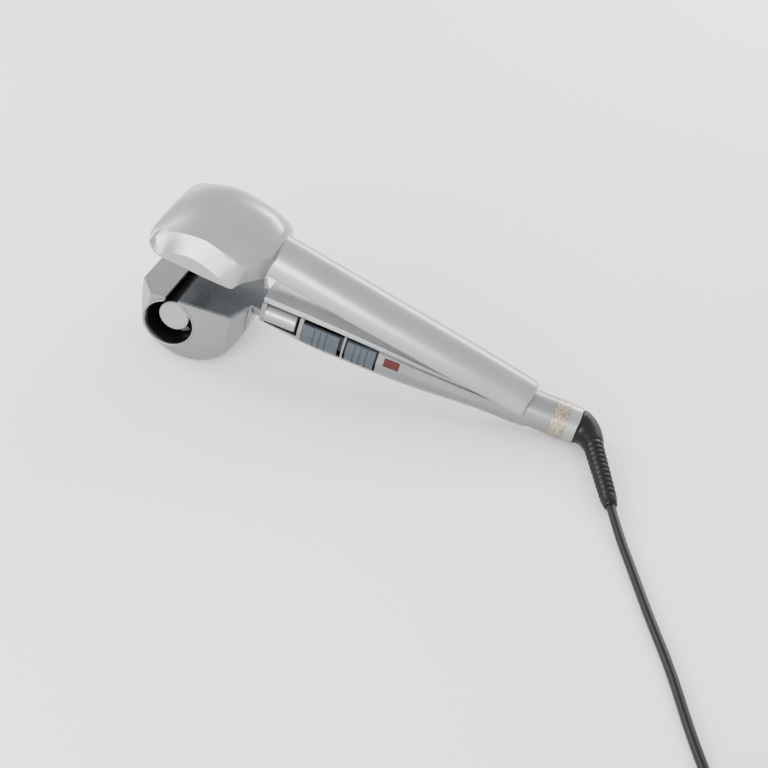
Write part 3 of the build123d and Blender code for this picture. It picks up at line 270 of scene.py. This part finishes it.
@dataclass(frozen=True)
class Finish:
    """A moulded or drawn surface: base colour, a mottle of two tones and a fine grain."""

    name: str
    hex_base: str
    hex_tone: str = ""
    metallic: float = 0.0
    roughness: float = 0.4
    ior: float = 1.5
    coat: float = 0.0
    coat_roughness: float = 0.1
    grain_mm: float = 0.4  # size of one grain
    grain_depth_mm: float = 0.01
    mottle_mm: float = 12.0  # size of a patch of tone
    stretch: float = 1.0  # how far the grain is drawn out along the tool
    transmission: float = 0.0
    rough_swing: float = 0.05

    def material(self) -> bpy.types.Material:
        """Build the node material.

        Returns:
            The material, made once under its own name.
        """
        found = bpy.data.materials.get(self.name)
        if found:
            return found
        material = bpy.data.materials.new(self.name)
        material.use_nodes = True
        tree = material.node_tree
        tree.nodes.clear()
        place = add_node(tree, "TexCoord").outputs["Object"]
        drawn = add_node(tree, "Mapping", {"Vector": place, "Scale": (1 / self.stretch, 1.0, 1.0)}).outputs[0]
        mottle = add_node(
            tree, "TexNoise", {"Vector": place, "Scale": 1 / (self.mottle_mm * MM), "Detail": MOTTLE_DETAIL}
        )
        grain = add_node(
            tree, "TexNoise", {"Vector": drawn, "Scale": 1 / (self.grain_mm * MM), "Detail": GRAIN_DETAIL}
        )
        tone = add_node(
            tree,
            "MapRange",
            {
                "Value": mottle.outputs[0],
                "From Min": TONE_BAND[0],
                "From Max": TONE_BAND[1],
                "To Min": 0.0,
                "To Max": 1.0,
            },
        )
        colour = add_node(tree, "Mix", {0: tone.outputs[0]}, data_type="RGBA")
        colour.inputs[MIX_COLOURS[0]].default_value = linear(self.hex_base)
        colour.inputs[MIX_COLOURS[1]].default_value = linear(self.hex_tone or self.hex_base)
        rough = add_node(
            tree,
            "MapRange",
            {
                "Value": grain.outputs[0],
                "From Min": GRAIN_BAND[0],
                "From Max": GRAIN_BAND[1],
                "To Min": self.roughness - self.rough_swing,
                "To Max": self.roughness + self.rough_swing,
            },
        )
        bump = add_node(
            tree,
            "Bump",
            {"Height": grain.outputs[0], "Distance": self.grain_depth_mm * MM, "Strength": 1.0},
        )
        shader = add_node(
            tree,
            "BsdfPrincipled",
            {
                "Base Color": colour.outputs[MIX_RESULT],
                "Metallic": self.metallic,
                "Roughness": rough.outputs[0],
                "IOR": self.ior,
                "Coat Weight": self.coat,
                "Coat Roughness": self.coat_roughness,
                "Transmission Weight": self.transmission,
                "Normal": bump.outputs[0],
            },
        )
        add_node(tree, "OutputMaterial", {"Surface": shader.outputs[0]})
        return material


# Silver-painted ABS: fine flake under a clear satin coat, so its highlights are wide and soft.
SILVER = Finish("silver_lacquer", "9C9B99", "959594", metallic=0.85, roughness=0.36, coat=0.35,
                coat_roughness=0.16, grain_mm=0.35, grain_depth_mm=0.004, mottle_mm=18)
# The lower head is the same paint, seen darker where light reaches it less.
SILVER_LOW = Finish("silver_lacquer_lower", "868788", "7F8183", metallic=0.85, roughness=0.36, coat=0.3,
                    coat_roughness=0.2, grain_mm=0.35, grain_depth_mm=0.004, mottle_mm=18)
# Painted shade: the head's inner deck is the same silver paint, coloured dark grey for the shade and the dark
# reflection under the upper head.
DECK_PAINTED_SHADE = Finish("deck_painted_shade", "4C5053", "46494C", metallic=0.6, roughness=0.3, coat=0.2, grain_mm=0.3,
              grain_depth_mm=0.004)
COVER = Finish("cover_abs", "B4B5B6", "AEB0B1", metallic=0.6, roughness=0.3, coat=0.4, coat_roughness=0.12,
               grain_mm=0.4, grain_depth_mm=0.003)
SLIDE = Finish("slide_abs", "39414A", "353D45", roughness=0.5, grain_mm=0.3, grain_depth_mm=0.008)
TRACK = Finish("track_abs", "17181A", "1C1D1F", roughness=0.55, grain_mm=0.3)
LENS = Finish("lens_acrylic", "460403", "340302", roughness=0.3, ior=1.4, coat=0.1, coat_roughness=0.1,
              grain_mm=0.6, grain_depth_mm=0.002)
PAD = Finish("pad_silicone", "1A1A1B", "202021", roughness=0.7, grain_mm=0.3)
CHAMBER = Finish("chamber_resin", "0B0B0C", "101011", roughness=0.38, grain_mm=0.4)
COATED = Finish("barrel_coating", "141415", "1A1A1B", roughness=0.45, grain_mm=0.3)
CERAMIC = Finish("barrel_ceramic", "3C4044", "373B3F", roughness=0.5, grain_mm=0.25, grain_depth_mm=0.006,
                 mottle_mm=3)
GEAR = Finish("acetal", "2A2B2D", "333437", roughness=0.35, grain_mm=0.3)
STEEL = Finish("turned_steel", "B5B6B8", "A5A6A9", metallic=1.0, roughness=0.3, grain_mm=0.15, stretch=6)
BRACKET = Finish("bracket_nylon", "2E3033", "35373A", roughness=0.5, grain_mm=0.3)
BOARD = Finish("board_glass_resin", "1E5A38", "1A5032", roughness=0.4, grain_mm=0.5)
BLACK = Finish("black_abs", "161617", "1B1B1C", roughness=0.45, grain_mm=0.3)
LEAD = Finish("lead_pvc", "8A2420", "7C201C", roughness=0.45, grain_mm=0.4)
# Blasted steel band: warm grey, coarse grain that catches small sparks.
BAND = Finish("blasted_steel", "B3A999", "80786C", metallic=1.0, roughness=0.36, grain_mm=0.9,
              grain_depth_mm=0.12, mottle_mm=1.6, rough_swing=0.12)
RUBBER = Finish("cord_pvc", "040405", "060607", roughness=0.36, ior=1.35, grain_mm=0.5, grain_depth_mm=0.01)
BRASS = Finish("nickel_plate", "C9C2B4", "BDB6A6", metallic=1.0, roughness=0.25, grain_mm=0.2)
FLOOR = Finish("studio_paper", "FFFFFF", "FEFEFE", roughness=1.0, grain_mm=30.0, grain_depth_mm=0.0,
               mottle_mm=400)

NODE_FINISH: dict[str, Finish] = {
    **dict.fromkeys(("lower_shell", "nose_ramp"), SILVER_LOW),
    **dict.fromkeys(("upper_shell", "side_bar", "end_ring"), SILVER),
    **dict.fromkeys(("arm_cover", "upper_liner"), COVER),
    **dict.fromkeys(("timer_slider", "heat_slider"), SLIDE),
    **dict.fromkeys(("indicator_lens", "indicator_led"), LENS),
    **dict.fromkeys(("barrel_cap", "heater_core"), CERAMIC),
    "heated_barrel": COATED,
    "rotor_ring": STEEL,
    **dict.fromkeys(("upper_idler", "lower_idler", "motor_pinion"), GEAR),
    **dict.fromkeys(("motor_bracket", "barrel_bracket", "hinge_block"), BRACKET),
    **dict.fromkeys(
        ("timer_switch", "heat_switch", "main_chip", "buzzer", "closing_switch", "switch_plunger",
         "swivel_contact"), BLACK
    ),
    **dict.fromkeys(("cord_elbow", "strain_relief", "cord", "cord_coil", "cord_tie", "plug_body"), RUBBER),
    "head_deck": DECK_PAINTED_SHADE,
    "slider_track": TRACK,
    "strand_pad": PAD,
    "chamber_liner": CHAMBER,
    "control_board": BOARD,
    "power_leads": LEAD,
    "metal_band": BAND,
    "plug_blades": BRASS,
}


def dress(piece: bpy.types.Object, finish: Finish) -> bpy.types.Object:
    """Give every slot of a piece one finish.

    Args:
        piece: the piece.
        finish: its finish.

    Returns:
        The piece.
    """
    material = finish.material()
    if not piece.material_slots:
        piece.data.materials.append(material)
    for slot in piece.material_slots:
        slot.material = material
    return piece


def fit(
    piece: bpy.types.Object, finish: Finish, body: Body, replaced: tuple[str, ...] = ()
) -> bpy.types.Object:
    """Dress a piece, let it ride on its body, and hide the nodes that it stands for.

    Args:
        piece: the new piece.
        finish: its finish.
        body: body that it rides on.
        replaced: nodes that it stands for.

    Returns:
        The piece.
    """
    dress(piece, finish)
    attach(piece, body.value)
    if replaced:
        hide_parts(*replaced)
    LOG.info("piece %s on %s", piece.name, body.value)
    return piece


# ---------------------------------------------------------------- studio
@dataclass(frozen=True)
class Lamp:
    """A soft rectangular lamp; metres and watts."""

    name: str
    place: tuple[float, float, float]
    target: tuple[float, float, float]
    size: tuple[float, float]
    watts: float

    def hang(self) -> None:
        """Hang the lamp so that it looks at its target."""
        data = bpy.data.lights.new(self.name, "AREA")
        data.shape = "RECTANGLE"
        data.size, data.size_y = self.size
        data.energy = self.watts
        lamp = bpy.data.objects.new(self.name, data)
        way = Vector(self.target) - Vector(self.place)
        turn = way.to_track_quat("-Z", "Y").to_matrix().to_4x4()
        lamp.matrix_world = Matrix.Translation(self.place) @ turn
        bpy.context.collection.objects.link(lamp)


@dataclass
class Studio:
    """Camera, lights and floor."""

    eye_mm: tuple[float, float, float] = (158.0, -645.2, 506.4)
    azimuth: float = 8.504
    elevation: float = 37.105
    roll: float = 16.938
    focal_px: float = 1335.5
    centre_px: tuple[float, float] = (-19.7, -44.46)
    frame_px: float = 768.0
    sensor_mm: float = 36.0
    clip_end: float = 20.0
    sky: float = 1.5  # strength of the white world
    floor_half: float = 6.0  # half the floor's side, metres
    lamps: tuple[Lamp, ...] = (
        Lamp("key", (-0.25, -1.0, 0.42), (-0.05, 0.0, 0.05), (0.7, 0.35), 12.0),
        Lamp("front", (-0.9, 0.1, 0.55), (-0.1, 0.0, 0.08), (0.35, 0.5), 6.0),
        Lamp("rim", (0.3, 1.0, 0.6), (0.0, 0.0, 0.05), (0.9, 0.3), 10.0),
    )

    def camera(self, tool: ToolFrame) -> None:
        """Set the camera by the turn of the tool's axes.

        Args:
            tool: the tool's axes.
        """
        a, e, r = (radians(v) for v in (self.azimuth, self.elevation, self.roll))
        back = np.array([sin(a) * cos(e), -cos(a) * cos(e), sin(e)])
        right = np.array([cos(a), sin(a), 0.0])
        up = np.cross(back, right)
        turned = (cos(r) * right + sin(r) * up, -sin(r) * right + cos(r) * up, back)
        axes = np.stack([tool.along, [0.0, 1.0, 0.0], tool.out], axis=1)
        rotation = Matrix([list(axes @ way) for way in turned]).transposed()
        data = bpy.data.cameras.new("camera")
        data.sensor_width = self.sensor_mm
        data.lens = self.focal_px / self.frame_px * data.sensor_width
        data.shift_x = -self.centre_px[0] / self.frame_px
        data.shift_y = self.centre_px[1] / self.frame_px
        data.clip_end = self.clip_end
        camera = bpy.data.objects.new("camera", data)
        camera.matrix_world = Matrix.Translation(Vector(self.eye_mm) * MM) @ rotation.to_4x4()
        bpy.context.collection.objects.link(camera)
        bpy.context.scene.camera = camera

    def build(self, tool: ToolFrame) -> None:
        """Make the camera, world, lamps and floor.

        Args:
            tool: the tool's axes.
        """
        self.camera(tool)
        world = bpy.data.worlds.new("studio")
        world.use_nodes = True
        sky = world.node_tree.nodes["Background"]
        sky.inputs[0].default_value = (1.0, 1.0, 1.0, 1.0)
        sky.inputs[1].default_value = self.sky
        bpy.context.scene.world = world
        for lamp in self.lamps:
            lamp.hang()
        corners = self.floor_half * np.array([[-1, -1, 0], [1, -1, 0], [1, 1, 0], [-1, 1, 0]], float)
        floor = mesh_piece("floor", corners, [(0, 1, 2, 3)])
        dress(floor, FLOOR)


# ---------------------------------------------------------------- cord
@dataclass
class Cord:
    """Mains cord: a straight run to a tied coil of turns lying on each other."""

    diameter: float = 5.5
    length: float = 1800.0
    route: tuple[tuple[float, float, float], ...] = (
        (169.4, -55.9, 5.8), (177.4, -74.4, 4.0), (189.0, -97.5, 2.8), (202.5, -127.0, 2.8),
        (219.0, -160.0, 2.8), (233.5, -196.0, 2.8), (249.0, -228.0, 2.8),
    )
    coil_centre: tuple[float, float] = (293.0, -245.0)
    # radius and height of each turn, in winding order; the last is a part turn to the plug
    turns: tuple[tuple[float, float], ...] = (
        (35.5, 2.75), (30.0, 2.75), (24.5, 2.75), (24.5, 8.25), (30.0, 8.25), (24.5, 13.75),
        (30.0, 13.75), (35.5, 13.75), (35.5, 8.25),
    )
    start_turn: float = 200.0
    end_turn: float = 300.0
    points_a_turn: int = 16
    ease_from: float = 0.7  # share of a turn after which it eases to the next, and the share it takes
    ease_over: float = 0.3
    hold: float = 1.2  # power of the cosine that holds the turns out
    plug_at: tuple[float, float, float] = (322.9, -268.7, 8.2)
    plug_turn: float = 30.0
    plug_run: tuple[float, float] = (6.0, 2.0)  # straight cord before and past the plug's place

    def coil_points(self) -> np.ndarray:
        """Control points of the turns: each keeps its radius and height, then eases to the next.

        Radii are divided by cos(half a step)^hold, because the spline runs inside its control points.

        Returns:
            n by 3 array, millimetres.
        """
        whole = len(self.turns) - 1 + (self.end_turn - self.start_turn) / 360
        t = np.arange(1, int(whole * self.points_a_turn)) / self.points_a_turn
        turn = t.astype(int)
        ease = np.clip((t - turn - self.ease_from) / self.ease_over, 0, 1)
        rows = np.array(self.turns)
        after = np.minimum(turn + 1, len(rows) - 1)
        place = rows[turn] + (rows[after] - rows[turn]) * (ease * ease * (3 - 2 * ease))[:, None]
        angle = radians(self.start_turn) + 2 * pi * t
        radius = place[:, 0] / cos(pi / self.points_a_turn) ** self.hold
        x = self.coil_centre[0] + radius * np.cos(angle)
        y = self.coil_centre[1] + radius * np.sin(angle)
        return np.stack([x, y, place[:, 1]], axis=1)

    def build(self) -> bpy.types.Object:
        """Make the cord as one smooth spline through its route, its turns and its plug.

        Returns:
            The cord.
        """
        end = np.array(self.plug_at)
        way = np.array([cos(radians(self.plug_turn)), sin(radians(self.plug_turn)), 0.0])
        before, past = self.plug_run
        last = [end - before * way, end + past * way]
        points = np.concatenate([np.array(self.route), self.coil_points(), last]) * MM
        curve = bpy.data.curves.new("mains_cord", "CURVE")
        curve.dimensions = "3D"
        curve.bevel_depth = self.diameter / 2 * MM
        curve.bevel_resolution = 5
        curve.use_fill_caps = True
        spline = curve.splines.new("NURBS")
        spline.points.add(len(points) - 1)
        spline.points.foreach_set("co", np.column_stack([points, np.ones(len(points))]).ravel())
        spline.order_u = 3
        spline.use_endpoint_u = True
        spline.resolution_u = 6
        cord = bpy.data.objects.new("mains_cord", curve)
        bpy.context.collection.objects.link(cord)
        return fit(cord, RUBBER, Body.CORD, ("cord", "cord_coil"))


@dataclass
class CordBoot:
    """Angled boot at the tail and its ribbed strain relief."""

    relief_r: float = 6.1
    tip_r: float = 4.9
    ribs: int = 11
    turns: int = 40
    tip: tuple[float, float, float] = (169.4, -55.9, 5.8)
    start_x: float = 0.2  # start and bend of the boot, past the tail
    bend_x: float = 7.5
    boot_reach: float = 13.0  # end of the boot and foot of the relief, past the bend
    relief_foot: float = 12.5
    boot_rows: int = 26
    # shares of the boot's path and the boot's radius there
    boot_shares: tuple[float, ...] = (0, 0.04, 0.1, 0.5, 0.9, 0.97, 1.0)
    boot_radii: tuple[float, ...] = (10.3, 10.9, 10.8, 8.9, 7.0, 6.6, 6.1)
    rib_rows: int = 8
    rib_square: float = 1.6  # gain that flattens the crests and the grooves
    rib_depth: float = 0.55
    ribbed: tuple[float, float] = (0.04, 0.84)  # shares of the relief: where the ribs start, how far they go
    # share of the relief's length and how far it is drawn in from tip_r there
    neck: tuple[tuple[float, float], ...] = ((0.93, 0.5), (0.985, 0.9))
    mouth_r: float = 3.1
    sharp: float = 50.0

    def boot(self, tool: ToolFrame, start: np.ndarray, bend: np.ndarray, out: np.ndarray) -> bpy.types.Object:
        """Carry circles along a quadratic path from the tail round the bend.

        Args:
            tool: the tool's axes.
            start: start of the path, metres.
            bend: the path's middle control point.
            out: unit direction in which the cord leaves.

        Returns:
            The boot.
        """
        u = np.linspace(0, 1, self.boot_rows)[:, None]
        path = (1 - u) ** 2 * start + 2 * u * (1 - u) * bend + u**2 * (bend + out * self.boot_reach * MM)
        way = np.gradient(path, axis=0)
        way /= np.linalg.norm(way, axis=1)[:, None]
        side = np.cross(tool.along, out)
        side /= np.linalg.norm(side)
        lift = np.cross(side, way)
        radius = MM * np.interp(u[:, 0], self.boot_shares, self.boot_radii)
        angle = np.linspace(0, 2 * pi, self.turns, endpoint=False)
        rim = np.cos(angle)[None, :, None] * side[None, None] + np.sin(angle)[None, :, None] * lift[:, None]
        rows = path[:, None] + radius[:, None, None] * rim
        first, last = (np.repeat(end, self.turns, 1) for end in (path[:1, None], path[-1:, None]))
        caps = np.concatenate([first, rows, last])
        faces = grid_faces(len(caps), self.turns, ring=True)
        boot = mesh_piece("cord_boot", caps.reshape(-1, 3), faces, self.sharp)
        return fit(boot, RUBBER, Body.CORD, ("cord_elbow",))

    def relief(self, foot: np.ndarray, tip: np.ndarray, out: np.ndarray) -> bpy.types.Object:
        """Turn rings with rounded shoulders, thinning toward the tip.

        Args:
            foot: start of the relief, metres.
            tip: its end.
            out: unit direction in which the cord leaves.

        Returns:
            The strain relief.
        """
        length = np.linalg.norm(tip - foot)
        rib = np.arange(self.ribs * self.rib_rows + 1) / self.rib_rows
        height = np.clip(np.cos(2 * pi * rib) * self.rib_square, -1, 1)
        along = length * (self.ribbed[0] + self.ribbed[1] * rib / self.ribs)
        base = self.relief_r + (self.tip_r - self.relief_r) * along / length
        profile = np.stack([along, (base - self.rib_depth + self.rib_depth * height) * MM], axis=1)
        near = MM * np.array([[0.0, 0.0], [0.0, self.relief_r]])
        far = np.array([[length, self.mouth_r * MM], [length, 0.0]])
        neck = np.array([[length * share, (self.tip_r - drop) * MM] for share, drop in self.neck])
        profile = np.concatenate([near, profile, neck, far])
        rows = revolve_rows(np.array([foot, out]), across(out), profile, self.turns)
        faces = grid_faces(len(rows), self.turns, ring=True)
        relief = mesh_piece("ribbed_relief", rows.reshape(-1, 3), faces, self.sharp)
        return fit(relief, RUBBER, Body.CORD, ("strain_relief",))

    def build(self, tool: ToolFrame) -> list[bpy.types.Object]:
        """Make the boot and the relief.

        Args:
            tool: the tool's axes.

        Returns:
            The two pieces.
        """
        start = tool.place(np.array([TAIL_X + self.start_x, 0.0, 0.0]))
        bend = tool.place(np.array([TAIL_X + self.bend_x, 0.0, 0.0]))
        tip = np.array(self.tip) * MM
        out = (tip - bend) / np.linalg.norm(tip - bend)
        boot = self.boot(tool, start, bend, out)
        return [boot, self.relief(bend + out * self.relief_foot * MM, tip, out)]


# ---------------------------------------------------------------- upper handle
@dataclass
class UpperHandle:
    """Upper head and handle in one skin of stations along the tool, closed pose, millimetres."""

    # x, crown, then half width and height of the crease, of the ridge and of the foot
    head: tuple[tuple[float, ...], ...] = (
        (-29.8, 2.4, 22.0, 1.4, 24.0, 0.2, 24.0, -0.6),
        (-29.4, 4.4, 26.0, 2.2, 28.4, 0.4, 28.4, -1.0),
        (-28.2, 7.2, 29.4, 2.8, 31.8, -0.4, 31.8, -2.0),
        (-26.0, 10.4, 31.6, 4.2, 37.2, -0.4, 37.2, -2.0),
        (-22.0, 14.8, 32.0, 6.4, 37.6, -4.2, 37.4, -5.6),
        (-17.5, 19.0, 32.0, 8.8, 37.6, -5.6, 37.4, -7.0),
        (-10.6, 23.4, 32.0, 12.0, 38.0, -0.6, 37.4, -6.4),
        (-3.8, 26.4, 32.0, 14.2, 38.0, 2.9, 37.4, -5.7),
        (3.8, 28.6, 32.0, 15.5, 38.0, 4.0, 37.4, -5.2),
        (11.0, 29.8, 32.0, 15.0, 38.0, 3.2, 37.4, -4.6),
        (20.5, 30.4, 32.0, 13.4, 38.0, 1.0, 37.4, -3.5),
        (26.0, 30.2, 31.8, 12.6, 37.6, -1.2, 37.1, -3.0),
        (29.5, 29.8, 31.0, 12.4, 36.8, -1.8, 36.5, -2.6),
        (31.2, 29.4, 29.8, 13.0, 34.8, 0.4, 34.6, -0.4),
        (34.0, 28.6, 26.6, 14.8, 29.2, 1.2, 29.0, 0.5),
        (37.0, 27.4, 23.2, 16.8, 24.4, 1.6, 24.2, 0.4),
        (39.4, 26.0, 20.2, 17.6, 20.8, 2.0, 20.6, 0.6),
        (41.2, 24.2, 17.6, 17.0, 18.0, 2.6, 17.8, 1.2),
        (42.6, 21.8, 14.8, 15.4, 15.0, 3.4, 14.8, 2.6),
        (44.0, 19.2, 12.0, 13.8, 12.2, 5.0, 12.0, 4.0),
    )
    columns: int = 20
    facet_points: int = 7
    pillow: float = 1.9  # how squarely the crown turns down to its crease

    def head_section(self, row: np.ndarray) -> np.ndarray:
        """Half sections from the crown to the foot.

        The top is crown - (crown - crease) * (y / crease half width)^pillow; a flat facet leads down to the
        ridge and a second one in to the foot.

        Args:
            row: n stations by 8, in the order of the head's table.

        Returns:
            n by m by 3 array.
        """
        x, crown, yc, zc, yb, zb, yf, zf = (row[:, i : i + 1] for i in range(8))
        s = np.linspace(0, 1, self.columns)[None]
        top_z = crown - (crown - zc) * s**self.pillow
        q = np.linspace(0, 1, self.facet_points)[None, 1:]
        y = np.concatenate([yc * s, yc + (yb - yc) * q, yb + (yf - yb) * q], axis=1)
        z = np.concatenate([top_z, zc + (zb - zc) * q, zb + (zf - zb) * q], axis=1)
        return np.stack([np.broadcast_to(x, y.shape), y, z], axis=-1)

    # x, half width at the lower edge, top
    arm: tuple[tuple[float, float, float], ...] = (
        (39.0, 16.2, 22.9), (46.0, 16.4, 22.7), (70.0, 16.4, 22.3), (94.0, 16.4, 21.9),
        (118.0, 16.4, 21.4), (140.0, 16.2, 21.1), (160.0, 15.9, 20.8), (176.0, 15.4, 20.5),
        (190.0, 14.9, 20.2), (204.0, 14.3, 19.8), (213.4, 13.85, 19.5), (215.2, 13.4, 19.0),
        (216.0, 12.5, 17.9),
    )
    edge_z: float = 3.6
    head_wall: float = 1.2
    arm_wall: float = 1.3
    arch: tuple[float, float] = (12.0, 2.5)  # radius and lift of the opening over the tail
    arch_step: float = 0.02  # how far the arch stands behind the last station
    head_steps: int = 6  # rows between two stations
    arm_steps: int = 5
    arm_columns: int = 49
    sharp: float = 20.0
    bevel_mm: float = 0.35
    bevel_segments: int = 2
    bevel_degrees: float = 50.0

    def skin(self, name: str, grid: np.ndarray, wall: float, tool: ToolFrame) -> bpy.types.Object:
        """Close a grid of sections into a wall of even thickness, thickened inwards.

        Args:
            name: the piece's name.
            grid: rows by columns by 3, tool millimetres.
            wall: thickness in millimetres.
            tool: the tool's axes.

        Returns:
            The piece.
        """
        points = tool.place(grid, lid=True)
        faces = grid_faces(grid.shape[0], grid.shape[1])
        piece = mesh_piece(name, points.reshape(-1, 3), faces, self.sharp)
        middle = np.mean(points.reshape(-1, 3), axis=0)
        mesh = piece.data
        if sum((poly.center - Vector(middle)).dot(poly.normal) * poly.area for poly in mesh.polygons) < 0:
            mesh.flip_normals()
        solid = piece.modifiers.new("wall", "SOLIDIFY")
        solid.thickness = wall * MM
        solid.offset = -1.0
        solid.use_even_offset = True
        bevel = piece.modifiers.new("edges", "BEVEL")
        bevel.width = self.bevel_mm * MM
        bevel.segments = self.bevel_segments
        bevel.limit_method = "ANGLE"
        bevel.angle_limit = radians(self.bevel_degrees)
        return piece

    def arm_section(self, rows: np.ndarray, columns: int) -> np.ndarray:
        """Arched sections: y = half cos a, z = edge + (top - edge) sin a, from one lower edge to the other.

        Args:
            rows: n stations of x, half width and top.
            columns: points across a section.

        Returns:
            n by columns by 3 array.
        """
        angle = np.linspace(0, pi, columns)[None]
        x, half, top = (rows[:, i : i + 1] for i in range(3))
        y = half * np.cos(angle)
        z = self.edge_z + (top - self.edge_z) * np.sin(angle)
        return np.stack([np.broadcast_to(x, y.shape), y, z], axis=-1)

    def build(self, tool: ToolFrame) -> None:
        """Make the head's skin and the handle's skin as closed walls.

        Args:
            tool: the tool's axes.
        """
        half = self.head_section(smooth_rows(np.array(self.head), self.head_steps))
        whole = np.concatenate([half[:, :0:-1] * np.array([1.0, -1.0, 1.0]), half], axis=1)
        head = self.skin("upper_head_skin", whole, self.head_wall, tool)
        fit(head, SILVER, Body.LID, ("upper_shell",))
        body = self.arm_section(smooth_rows(np.array(self.arm), self.arm_steps), self.arm_columns)
        angle = np.linspace(0, pi, self.arm_columns)
        radius, lift = self.arch
        x = np.full(self.arm_columns, self.arm[-1][0] + self.arch_step)
        z = np.maximum(lift + radius * np.sin(angle), self.edge_z)
        arch = np.stack([x, radius * np.cos(angle), z], axis=1)
        arm = self.skin("upper_handle_skin", np.concatenate([body, arch[None]]), self.arm_wall, tool)
        fit(arm, SILVER, Body.LID)


@dataclass
class CurlMouth:
    """Rolled lip round the curl chamber's mouth in the near face of the lower head."""

    axis: tuple[float, float] = (-3.5, -18.0)
    radius: float = 16.1
    roll: float = 0.85
    gap_degrees: tuple[float, float] = (74.0, 106.0)  # where the strand slot runs through

    lift: float = 0.3  # how far the roll's middle stands off the face
    points: int = 97  # round the mouth
    sides: int = 16  # round the roll
    taper: tuple[float, float] = (3, 0.5)  # points over which an end is drawn in, and its power
    sharp: float = 60.0
    # the near face at the front corner, the middle and the rear: x and distance from the middle plane
    face_x: tuple[float, ...] = (-17.5, 0.0, 33.0)
    face_y: tuple[float, ...] = (35.8, 35.3, 31.0)

    def near_face(self, x: np.ndarray) -> np.ndarray:
        """Place of the near face across the tool, straight between its three given points.

        Args:
            x: places along the tool.

        Returns:
            y of the face there.
        """
        return -np.interp(x, self.face_x, self.face_y)

    def build(self, tool: ToolFrame) -> None:
        """Sweep a small circle round the mouth's rim, its ends drawn in where the slot opens.

        Args:
            tool: the tool's axes.
        """
        first, last = radians(self.gap_degrees[1]), radians(self.gap_degrees[0]) + 2 * pi
        angle = np.linspace(first, last, self.points)
        flat = np.zeros(self.points)
        rim = np.stack([self.axis[0] + self.radius * np.cos(angle), flat,
                        self.axis[1] + self.radius * np.sin(angle)], axis=1)
        rim[:, 1] = self.near_face(rim[:, 0]) + self.lift
        outward = np.stack([np.cos(angle), flat, np.sin(angle)], axis=1)
        step = np.arange(self.points)
        over, power = self.taper
        taper = np.clip(np.minimum(step, self.points - 1 - step) / over, 0, 1) ** power
        turn = np.linspace(0, 2 * pi, self.sides, endpoint=False)[None, :, None]
        ring = np.cos(turn) * outward[:, None] + np.sin(turn) * np.array([0.0, -1.0, 0.0])
        points = rim[:, None] + self.roll * taper[:, None, None] * ring
        faces = grid_faces(self.points, self.sides, ring=True)
        lip = mesh_piece("mouth_lip", tool.place(points).reshape(-1, 3), faces, self.sharp)
        fit(lip, SILVER_LOW, Body.BASE)


def main() -> None:
    """Build the curler's pieces round the frame, in order."""
    logging.basicConfig(level=logging.INFO, format="%(message)s")
    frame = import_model()
    tool = ToolFrame.of(frame["joints"])
    Studio().build(tool)
    cord = Cord()
    line = cord.build()
    boot = CordBoot().build(tool)
    for name, node in frame["nodes"].items():
        dress(node, NODE_FINISH.get(name, STEEL))
    UpperHandle().build(tool)
    CurlMouth().build(tool)
    bpy.context.view_layer.update()


if __name__ == "__main__":
    main()
